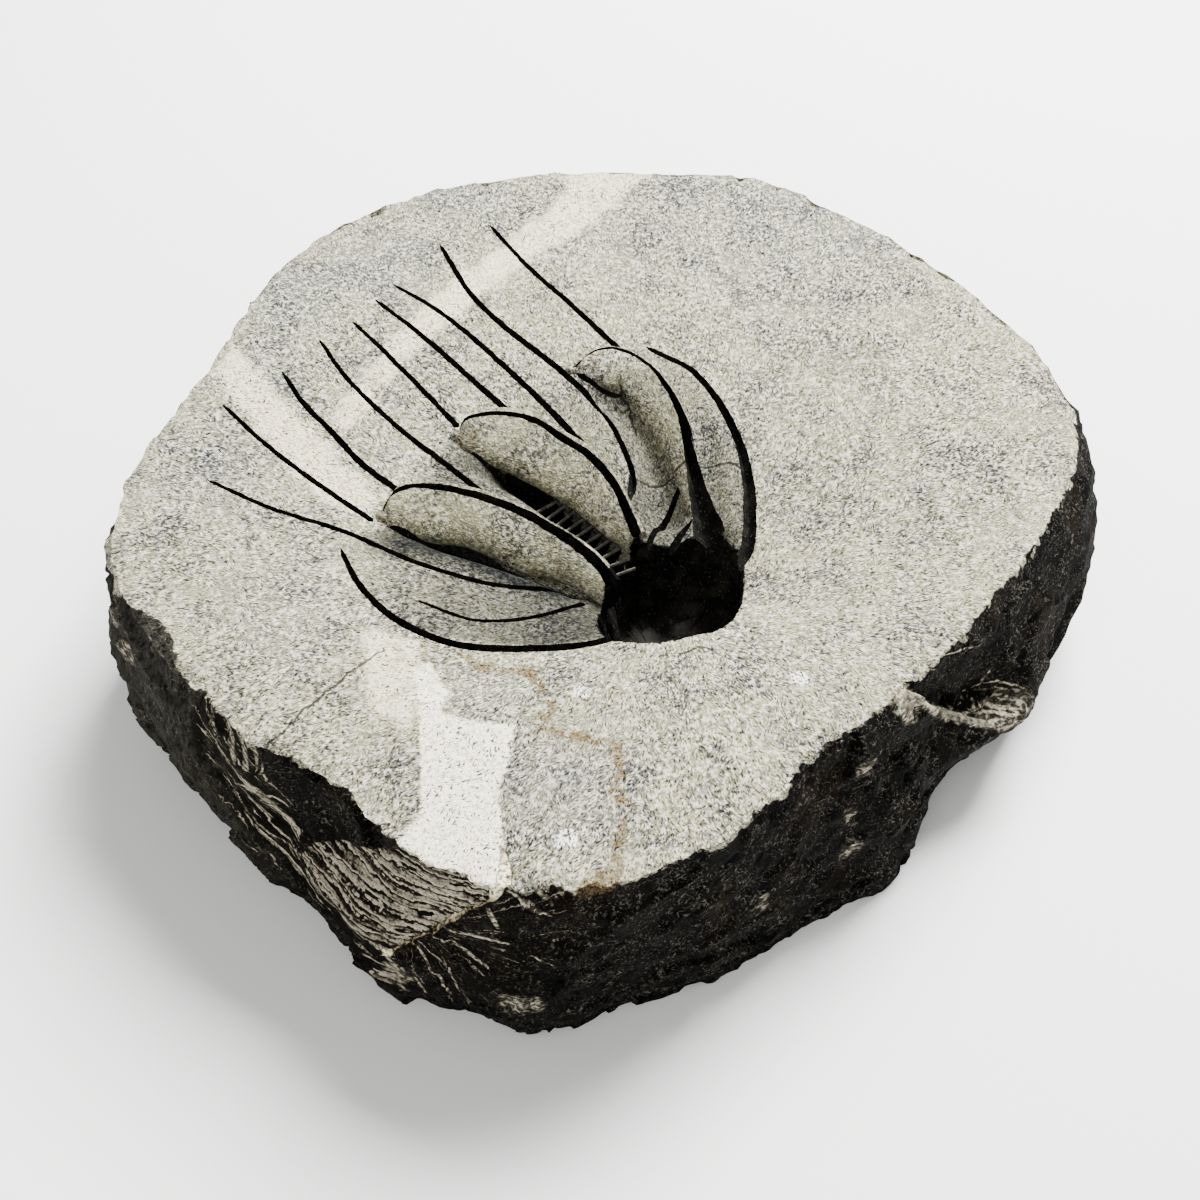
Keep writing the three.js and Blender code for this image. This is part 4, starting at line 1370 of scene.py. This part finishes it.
@dataclass(frozen=True)
class Markings:
    """Where the stone's tone changes, and where shade is painted on it.

    Marks on the top are in the frame's millimetres, and the zones in the block's own. Those on
    the sides are (degrees, height). Round marks have a radius and a strength after their place.
    """

    creams: tuple = (
        (
            (-35, 303), (-34, 279), (-48, 258), (-72, 227), (-97, 194), (-79, 175), (-58, 206),
            (-34, 221), (-18, 241), (5, 267), (15, 291), (29, 303),
        ),
        (
            (-97, 194), (-118, 170), (-139, 134), (-150, 110), (-164, 77), (-180, 49), (-170, 35),
            (-158, 52), (-149, 78), (-138, 96), (-129, 115), (-108, 138), (-79, 175),
        ),
        (
            (-252, 119), (-225, 79), (-183, 29), (-163, 5), (-142, -18), (-154, -37), (-178, -23),
            (-207, 12), (-236, 50), (-262, 88),
        ),
        ((-146, -124), (-112, -130), (-104, -165), (-112, -200), (-134, -180)),
    )
    window: tuple = (
        (-114, -150), (-104, -148), (-92, -170), (-96, -184), (-79, -191), (-52, -193), (-56, -198),
        (-57, -219), (-63, -234), (-58, -271), (-59, -296), (-85, -287), (-113, -267), (-102, -249),
        (-108, -176),
    )
    vein: tuple = (
        (-82, -144), (-68, -153), (-49, -155), (-42, -165), (-35, -183), (-41, -191), (-33, -199),
        (-19, -203), (-1, -205), (2, -219), (-1, -234), (5, -249), (2, -267), (0, -283), (-6, -290),
    )
    cracks: tuple = (
        (
            (-190, -209), (-175, -193), (-172, -185), (-163, -176), (-153, -165), (-145, -154),
            (-132, -141),
        ),
        ((16, 14), (47, 17), (78, 10)), ((4, 85), (10, 73), (14, 55)),
        ((38, -141), (46, -136), (54, -137)),
    )
    # bluish patches of the top; the last two are painted shade over its back
    cools_and_shade: tuple = (
        (-117, 275, 140, 70, 1), (-161, 202, 140, 70, 1), (-212, 159, 140, 60, 1),
        (-230, 89, 140, 40, 1), (-25, -235, 140, 60, 0.8), (-70, -170, 140, 34, 0.8),
        (-250, 0, 140, 70, 0.6), (-190, -110, 140, 70, 0.5), (120, 260, 140, 170, 0.8),
        (10, 240, 140, 110, 0.5),
    )
    stains: tuple = (
        (-39, -69, 120, 15, 1.2), (-90, 34, 130, 15, 1.2), (176, 199, 140, 9, 0.8),
        (-120, 10, 140, 14, 0.4), (-17, 99, 133, 20, 0.6), (-116, -142, 140, 20, 0.7),
        (-128, -118, 140, 14, 0.5),
    )
    scuffs: tuple = (
        (-27, -266, 140, 11, 0.9), (101, -160, 140, 9, 1), (-20, -170, 140, 9, 0.8),
        (99, -120, 140, 12, 0.3),
    )
    rusts: tuple = (
        (-6, -290, 140, 12, 1), (-14, -294, 138, 12, 0.9), (-25, -290, 120, 24, 0.55),
        (-38, -190, 140, 7, 0.7), (-22, -203, 140, 6, 0.6), (-4, -206, 140, 7, 0.7),
    )
    spills: tuple = (  # mm of side that turns pale, and degrees: from, full from, full to, to
        (5, 15, 25, 160, 170), (5, 170, 174, 179, 182), (-12, 181, 186.5, 188, 192.5),
    )
    # painted shade under each lobe's lip
    shades: tuple = (  # lobe, reach, strength, end
        (0, 42, 1.0, 0.95), (1, 32, 0.9, 0.95), (2, 30, 0.55, 0.45),
    )
    # painted shade along each fold
    fold_shades: tuple = (0.3, 0.4, 0.5, 0.3)
    # painted shade over the carved zones round the pit
    zones: tuple = (  # strength at the pit's lip, at 90 mm from it, where it ends, and the outline
        (
            0.9, 0.64, 175,
            (
                (-170, -56), (-144, -94), (-121, -119), (-95, -134), (-35, -137), (3, -128),
                (0, -90), (-16, -79), (-33, -73), (-51, -69), (-86, -52), (-103, -50), (-136, -42),
            ),
        ),
        (
            0.82, 0.68, 999,
            (
                (-98, 30), (-87, 20), (-64, 12), (-46, 1), (-30, -16), (-40, -40), (-69, -30),
                (-86, -24), (-104, -20), (-118, -15),
            ),
        ),
        (
            0.45, 0.45, 230,
            (
                (-90, 42), (-65, 46), (-46, 40), (-28, 26), (-10, 11), (5, -10), (14, -30),
                (25, -45), (14, -14), (17, 7), (10, 33), (-4, 61), (-24, 84),
            ),
        ),
        (
            0.78, 0.66, 999,
            (
                (-22, 88), (-8, 82), (9, 81), (15, 73), (22, 62), (34, 40), (43, 14), (50, -14),
                (57, -40), (40, -50), (20, -50), (14, -14), (17, 7), (10, 33), (-4, 61),
            ),
        ),
        (
            0.72, 0.36, 999,
            (
                (13, 103), (28, 90), (40, 69), (49, 42), (57, -9), (66, -50), (75, -60), (83, -56),
                (88, -24), (86, 14), (74, 54), (55, 87), (26, 110),
            ),
        ),
    )
    seam: tuple = ((-59, -271), (-57, -283), (-58, -298))
    split: tuple = (
        (245.2, 142), (244.6, 131), (241.4, 117), (238.7, 101), (234.7, 80), (232.2, 66),
        (230.2, 54),
    )
    blobs: tuple = ((245.3, 139, 13, 1), (230.6, 56, 8, 0.7), (239.5, 106, 8, 0.4))
    bruises: tuple = (
        (247.7, 45, 12, 0.85), (250.2, 49, 12, 0.8), (315, 114, 9, 0.9), (313, 112, 7, 0.8),
        (205.4, 97, 9, 1.1), (206.8, 90, 7, 0.9), (308.9, 57, 15, 0.85), (309, 84, 12, 0.6),
        (273, 99, 9, 0.5), (328, 136, 22, 1), (286, 64, 14, 0.5), (232, 40, 14, 0.8),
        (185.2, 113, 10, 0.8), (181.8, 126, 9, 0.7),
    )
    strands: tuple = (  # half a stroke's breadth, mm, and its path over the sides
        (2.1, (200.8, 144), (202.6, 134), (203.7, 112)),
        (2.1, (203.1, 144), (204.9, 133), (205.3, 112)),
        (1.5, (205.8, 142), (206.6, 133), (207, 116)),
        (0.7, (197.4, 116), (200.7, 113), (203.2, 106), (205.7, 101)),
        (
            0.9, (200.7, 90), (202.7, 77), (205.2, 69), (207.5, 64), (210.2, 62), (212.5, 62),
            (216.7, 62),
        ),
        (0.7, (204.7, 51), (207.6, 44), (208.7, 32), (213.2, 33)),
        (0.9, (233.4, 76), (236.1, 64), (237.7, 48), (238.6, 28)),
        (0.8, (234.5, 76), (238.7, 65), (240, 45), (241, 21)),
        (1.4, (237.1, 92), (240.2, 83), (243.3, 73), (244.3, 70)),
        (1.3, (237.6, 97), (241.7, 97), (244.7, 97), (247.2, 97)),
        (1.6, (244, 125), (244.8, 119), (245.6, 106)), (0.7, (250, 95), (252, 89), (253.6, 84)),
        (1.6, (245.9, 138), (249.2, 132), (252.6, 123)),
        (1.3, (246.5, 143), (250, 138), (252.6, 131)), (1.9, (229.3, 61), (231.5, 46), (232.4, 17)),
        (0.9, (234.2, 42), (235.4, 22)),
        (1.2, (202.7, 90), (204.8, 96), (206.2, 93), (207.7, 98), (209.7, 93)),
        (0.9, (207.1, 91), (208.6, 86)),
        (0.7, (207.7, 130), (207.7, 113), (208.7, 104), (210.2, 97)),
        (1.1, (198, 143), (199.5, 131), (201.2, 124)), (1.3, (346.9, 74), (349.6, 77), (351.3, 80)),
        (1.0, (350.3, 77), (349.7, 72), (348.4, 69)), (1.0, (350.6, 73), (349.8, 69), (349.3, 66)),
        (0.9, (352.2, 71), (350.6, 66), (350.1, 63)), (0.9, (352.8, 68), (351.8, 64), (350.5, 61)),
        (0.9, (352.3, 80), (354.3, 75), (355, 69), (354.4, 64)),
        (0.8, (349.8, 78), (353.3, 73), (354.4, 67)), (1.0, (347, 71), (348.8, 67), (350.6, 63)),
        (1.0, (346.2, 64), (348, 63), (349.6, 60), (350.8, 56)),
        (0.7, (353.8, 92), (353.1, 80), (351.8, 78)), (0.6, (336.8, 138), (339.5, 133)),
        (0.6, (340.3, 139), (346.8, 131), (350.8, 124)),
    )

    def hollows(self, x: np.ndarray, y: np.ndarray) -> np.ndarray:
        """How much painted shade lies in folds, between lobes and under their lips, 0 to 1."""
        most = np.zeros(len(x))
        degrees, distance = BlockForm().polar(x, y)
        gap = distance - around(BlockForm().pit, degrees)
        for close, far, reach, outline in self.zones:
            strength = np.interp(gap, (15, 90, reach), (close, far, 0))
            most = np.maximum(most, strength * smoothstep(-3, 4, inside(outline, x, y)))
        for fold, strength in zip(BlockForm().folds, self.fold_shades):
            away, share = along(fold.path, x, y)
            depth = smoothstep(fold.reach, 0.3 * fold.reach, np.abs(away))
            most = np.maximum(most, strength * (depth * smoothstep(-0.02, 0.25, share)))
        for number, reach, strength, end in self.shades:
            away, share = along(LOBES[number].lip, x, y)
            below = smoothstep(-reach, -0.25 * reach, away) * (away < 6)
            below = below * smoothstep(-0.02, 0.16, share)
            most = np.maximum(most, strength * below * smoothstep(end, end - 0.2, share))
        return most

    def strokes(
        self, run: np.ndarray, height: np.ndarray, group: int,
    ) -> tuple[np.ndarray, np.ndarray]:
        """The chisel strokes of one group.

        Args:
            run: how far round the sides each point is, mm.
            height: how high it is, mm.
            group: which group.

        Returns:
            Signed distance to the closest stroke, and half its breadth or NO_STROKE.
        """
        closest, half = np.full(len(run), FAR), np.full(len(run), NO_STROKE)
        for breadth, *path in self.strands[group::STRAND_GROUPS]:
            away, share = along(unroll(path), run, height)
            nearer = np.abs(away) < np.abs(closest)
            closest = np.where(nearer, away, closest)
            inked = (share > 0) & (share < 1) & (np.abs(away) < max(3.0, 2.6 * breadth))
            tapered = breadth * (0.5 + 0.5 * np.sin(math.pi * share))
            half = np.where(nearer, np.where(inked, tapered, NO_STROKE), half)
        return closest, half

    def fields(self, points: np.ndarray) -> dict[str, np.ndarray]:
        """Every field that the materials read, at each point.

        Args:
            points: (n, 3) places in the unshifted mm of the block.

        Returns:
            One array for each attribute's name.
        """
        form = BlockForm()
        degrees, distance = form.polar(points[:, 0], points[:, 1])
        degrees = np.mod(degrees, 360)
        framed = points - FRAME_SHIFT
        x, y = framed[:, 0], framed[:, 1]
        run, height = on_sides(points)
        drop = HEIGHT - height
        on_top = Block(form).rim(degrees) - distance
        over = sum(
            reach * smoothstep(start, full, degrees) * smoothstep(end, fading, degrees)
            for reach, start, full, fading, end in self.spills
        )
        proud = points[:, 2] - form.top(points[:, 0], points[:, 1])
        upper = (on_top > 2.5) & ((proud > -8) | (on_top > 45))
        pale = np.where(upper, on_top, 2.5 - np.maximum(drop, 2.5 - on_top))
        lobe = smoothstep(0.8, 2.6, proud) * (distance < 190)
        # painted shade that darkens each lobe towards its lip, where it turns away from the light
        turned = np.zeros(len(points))
        for lobe_form, (_, _, _, end) in zip(LOBES, self.shades):
            away, share = along(lobe_form.lip, points[:, 0], points[:, 1])
            lip_shade = smoothstep(13, 3, np.abs(away)) * smoothstep(end - 0.15, end - 0.5, share)
            turned = np.maximum(turned, lip_shade)
        vein, _ = along(self.vein, x, y)
        cracks = [along(path, x, y) for path in self.cracks]
        closest = np.argmin([np.abs(away) for away, _ in cracks], axis=0)
        crack = np.choose(closest, [away for away, _ in cracks])
        lift, ledge = Ledge().above(points)
        unrolled = np.stack((run, height), axis=-1)
        split, _ = along(unroll(self.split), run, height)
        seam, _ = along(self.seam, x, y)
        split = np.where(on_top < 3, split, seam)
        strokes = {}
        for group in range(STRAND_GROUPS):
            away, half = self.strokes(run, height, group)
            strokes |= {f"strand_{group}": away, f"strand_half_{group}": half}
        bruises = near(unroll(self.bruises), unrolled)
        edge = 1.15 * ledge * smoothstep(9, 3, np.abs(lift + 1.5))
        edge = edge * (1 - 0.45 * smoothstep(344, 349, degrees))
        ribs, broad = Furrows().ribs(points)
        return {
            "pale": pale + over,
            "cream": np.max([smoothstep(-14, 14, inside(c, x, y)) for c in self.creams], axis=0),
            # bluish tone, and painted shade over the top's back
            "cool_and_shade": near(self.cools_and_shade, framed),
            "window": inside(self.window, x, y),
            # painted shade on the lobes
            "lobe": lobe * (0.65 + 0.3 * turned),
            # painted shade in the hollows, off the lobes
            "hollow": self.hollows(points[:, 0], points[:, 1]) * (1 - lobe),
            # soot of the pit; painted shade under the lobes and in the scar above the ledge
            "soot_and_shade": np.max([
                around(form.pit, degrees) - distance,
                # painted shade on stone faces below the top, under the lobes
                np.minimum(np.clip(-1.5 * proud - 4, None, 10), on_top - 40),
                # painted shadow in the scar above the ledge
                8.6 * ledge * smoothstep(1, 6, lift) * smoothstep(40, 12, lift) * (on_top < 2) - 8,
            ], axis=0),
            "vein": vein,
            "vein_on": ((drop < 12) & (np.abs(vein) < 14)).astype(float),
            "crack": crack,
            "crack_on": (np.abs(crack) < 8).astype(float),
            "stain": near(self.stains, framed),
            "scuff": near(self.scuffs, framed),
            "ribs": ribs,
            "broad": broad,
            "ashen": smoothstep(160, 175, degrees) * smoothstep(212, 200, degrees),
            "ochre": split,
            "ochre_on": (np.abs(split) < 10).astype(float),
            "blob": near(unroll(self.blobs), unrolled) * smoothstep(32, 4, on_top),
            "bruised": np.maximum(bruises, edge),
            "rusty": near(self.rusts, framed),
            **strokes,
        }


def drop_crumbs(mesh: bpy.types.Mesh) -> None:
    """Deletes the loose crumbs that cutting leaves beside the one large piece.

    Args:
        mesh: the mesh, of which the largest connected piece stays.
    """
    ends = np.empty(len(mesh.edges) * 2, np.int32)
    mesh.edges.foreach_get("vertices", ends)
    start, end = ends.reshape(-1, 2).T
    piece = np.arange(len(mesh.vertices))
    while (piece[start] != piece[end]).any():
        lower = np.minimum(piece[start], piece[end])
        np.minimum.at(piece, piece[start], lower)
        np.minimum.at(piece, piece[end], lower)
        piece = piece[piece]
    crumbs = np.flatnonzero(piece != np.bincount(piece).argmax())
    form = bmesh.new()
    form.from_mesh(mesh)
    form.verts.ensure_lookup_table()
    bmesh.ops.delete(form, geom=[form.verts[k] for k in crumbs], context="VERTS")
    form.to_mesh(mesh)
    form.free()
    LOG.info("%d corners of loose crumbs dropped", len(crumbs))


class Stone:
    """The whole object: the block with everything cut into it and joined to it, as one mesh."""

    def __init__(self) -> None:
        """Makes the finishes."""
        self.finishes = (CrystallineStone().make(), BlackenedCut().make(), GroundStone().make())
        self.form = BlockForm()

    def block(self) -> bpy.types.Object:
        """The block before it is carved, its pit blackened."""
        block = Block(self.form)
        shell, columns = block.shell(), len(block.columns())
        finish = np.full(len(shell.quads) + len(shell.triangles), Finish.STONE.value)
        finish[:columns * (PIT_ROWS - 1)] = Finish.BLACKENED.value
        finish[len(shell.quads):len(shell.quads) + columns] = Finish.BLACKENED.value
        return shell.build("stone_block", self.finishes, finish)

    def carving(self) -> list[tuple[Shell, Join, np.ndarray | int]]:
        """Everything cut into the block or joined to it, in working order, with its finish."""
        trough, stone = Trough(), Finish.STONE.value
        bars = [trough.bar(k) for k in range(trough.count)]
        crests = [lobe.crest_groove() for lobe in LOBES if lobe.groove]

        def cuts(tools: Sequence[Groove | Slot], seed: int, step: int) -> list:
            """Blackened cuts, each of which has its own seed."""
            black = Finish.BLACKENED.value
            shells = [tool.shell(self.form, seed + step * k) for k, tool in enumerate(tools)]
            return [(shell, Join.CUT, black) for shell in shells]

        return [
            *cuts(GROOVES, 100, 11),
            (trough.cutter(), Join.CUT, Finish.BLACKENED.value),
            *((bar, Join.ADD, trough.bar_finish(bar)) for bar in bars),
            *((lobe.shell(400 + 7 * k), Join.ADD, stone) for k, lobe in enumerate(LOBES)),
            *cuts(SLOTS, 500, 7),
            *cuts((*crests, WEDGE), 600, 11),
        ]

    def carve(self, block: bpy.types.Object) -> None:
        """Cuts and joins the carving, and keeps the result as the block's own mesh."""
        tools = []
        for number, (shell, join, finish) in enumerate(self.carving()):
            tool = shell.build(f"tool_{number:02d}", self.finishes, finish)
            tools.append(tool)
            modifier = block.modifiers.new(tool.name, "BOOLEAN")
            modifier.object, modifier.operation, modifier.solver = tool, join.value, "MANIFOLD"
        graph = bpy.context.evaluated_depsgraph_get()
        carved = bpy.data.meshes.new_from_object(block.evaluated_get(graph))
        block.modifiers.clear()
        drop_crumbs(carved)
        block.data = carved
        for tool in tools:
            mesh = tool.data
            bpy.data.objects.remove(tool)
            bpy.data.meshes.remove(mesh)

    def dress(self, block: bpy.types.Object) -> None:
        """Writes the tone fields to the mesh and shades it smooth between its sharp edges."""
        mesh = block.data
        mesh.name = block.name
        points = np.empty(len(mesh.vertices) * 3, np.float32)
        mesh.vertices.foreach_get("co", points)
        points = points.reshape(-1, 3).astype(float) / MM + FRAME_SHIFT
        for name, values in Markings().fields(points).items():
            field = mesh.attributes.new(name, "FLOAT", "POINT")
            field.data.foreach_set("value", values.astype(np.float32))
        flow = mesh.attributes.new("flow", "FLOAT_VECTOR", "POINT")
        flow.data.foreach_set("vector", Furrows().flow(points).astype(np.float32).ravel())
        mesh.polygons.foreach_set("use_smooth", np.ones(len(mesh.polygons), bool))
        mesh.set_sharp_from_angle(angle=math.radians(SHARP_ANGLE))

    def build(self) -> bpy.types.Object:
        """Builds the stone.

        Returns:
            The finished piece.
        """
        block = self.block()
        self.carve(block)
        self.dress(block)
        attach(block, "root")
        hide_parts("stone")
        mesh = block.data
        mesh.calc_loop_triangles()
        corners, triangles = len(mesh.vertices), len(mesh.loop_triangles)
        LOG.info("%s: %d corners, %d triangles", block.name, corners, triangles)
        return block


# ---------------------------------------------------------------- studio


@dataclass(frozen=True)
class Lamp:
    """A square soft lamp that points at the stone, in metres and watts."""

    name: str
    place: tuple[float, float, float]
    size: float
    power: float

    def build(self) -> bpy.types.Object:
        """Makes the lamp."""
        light = bpy.data.lights.new(self.name, "AREA")
        light.shape, light.size, light.energy = "SQUARE", self.size, self.power
        lamp = bpy.data.objects.new(self.name, light)
        lamp.location = self.place
        aim = -Vector(self.place) + Vector((0, 0, 0.1))
        lamp.rotation_euler = aim.to_track_quat("-Z", "Y").to_euler()
        return lamp


@dataclass(frozen=True)
class Studio:
    """A plain pale floor, soft light from above and the camera, in metres."""

    eye: tuple = (-0.0092, -0.7200, 0.8723)
    target: tuple = (-0.0092, -0.1055, 0.1400)
    lens: float = 50.0  # mm, as is the width of the sensor
    sensor: float = 36.0
    paper: str = "#f4f4f2"
    half_floor: float = 6.0
    surround: float = 0.62  # strength of the white surround
    lamps: tuple[Lamp, ...] = (
        Lamp("overhead", (1.05, 1.8, 2.6), 1.7, 630.0),
        Lamp("front", (-0.6, -1.6, 2.2), 1.6, 24.0),
    )

    def floor(self) -> bpy.types.Object:
        """A square pale paper floor under the stone."""
        recipe = Recipe("pale studio paper")
        add = recipe.add
        shader = add(Node.SURFACE, self.paper, 0.9, 0.1)
        add(Node.OUTPUT, shader)
        mesh = bpy.data.meshes.new("floor")
        corners = [(x * self.half_floor, y * self.half_floor, 0)
                   for x, y in ((-1, -1), (1, -1), (1, 1), (-1, 1))]
        mesh.from_pydata(corners, [], [(0, 1, 2, 3)])
        mesh.materials.append(recipe.material)
        floor = bpy.data.objects.new("floor", mesh)
        bpy.context.scene.collection.objects.link(floor)
        return floor

    def light(self) -> None:
        """One broad soft light high up behind, a weak one in front, and a white surround."""
        for lamp in self.lamps:
            made = lamp.build()
            bpy.context.scene.collection.objects.link(made)
        world = bpy.data.worlds.new("surround")
        world.use_nodes = True
        background = world.node_tree.nodes["Background"]
        background.inputs["Color"].default_value = linear("#ffffff")
        background.inputs["Strength"].default_value = self.surround
        bpy.context.scene.world = world

    def camera(self) -> None:
        """A camera that looks down at the stone from the front."""
        lens = bpy.data.cameras.new("camera")
        lens.lens, lens.sensor_width = self.lens, self.sensor
        camera = bpy.data.objects.new("camera", lens)
        camera.location = self.eye
        aim = Vector(self.target) - Vector(self.eye)
        camera.rotation_euler = aim.to_track_quat("-Z", "Y").to_euler()
        bpy.context.scene.collection.objects.link(camera)
        bpy.context.scene.camera = camera


def main() -> None:
    """Builds the stone and the studio in order."""
    logging.basicConfig(level=logging.INFO, format="%(name)s: %(message)s")
    studio = Studio()
    studio.floor()
    studio.light()
    studio.camera()
    LOG.info("studio: floor, lights and camera")
    Stone().build()


if __name__ == "__main__":
    main()
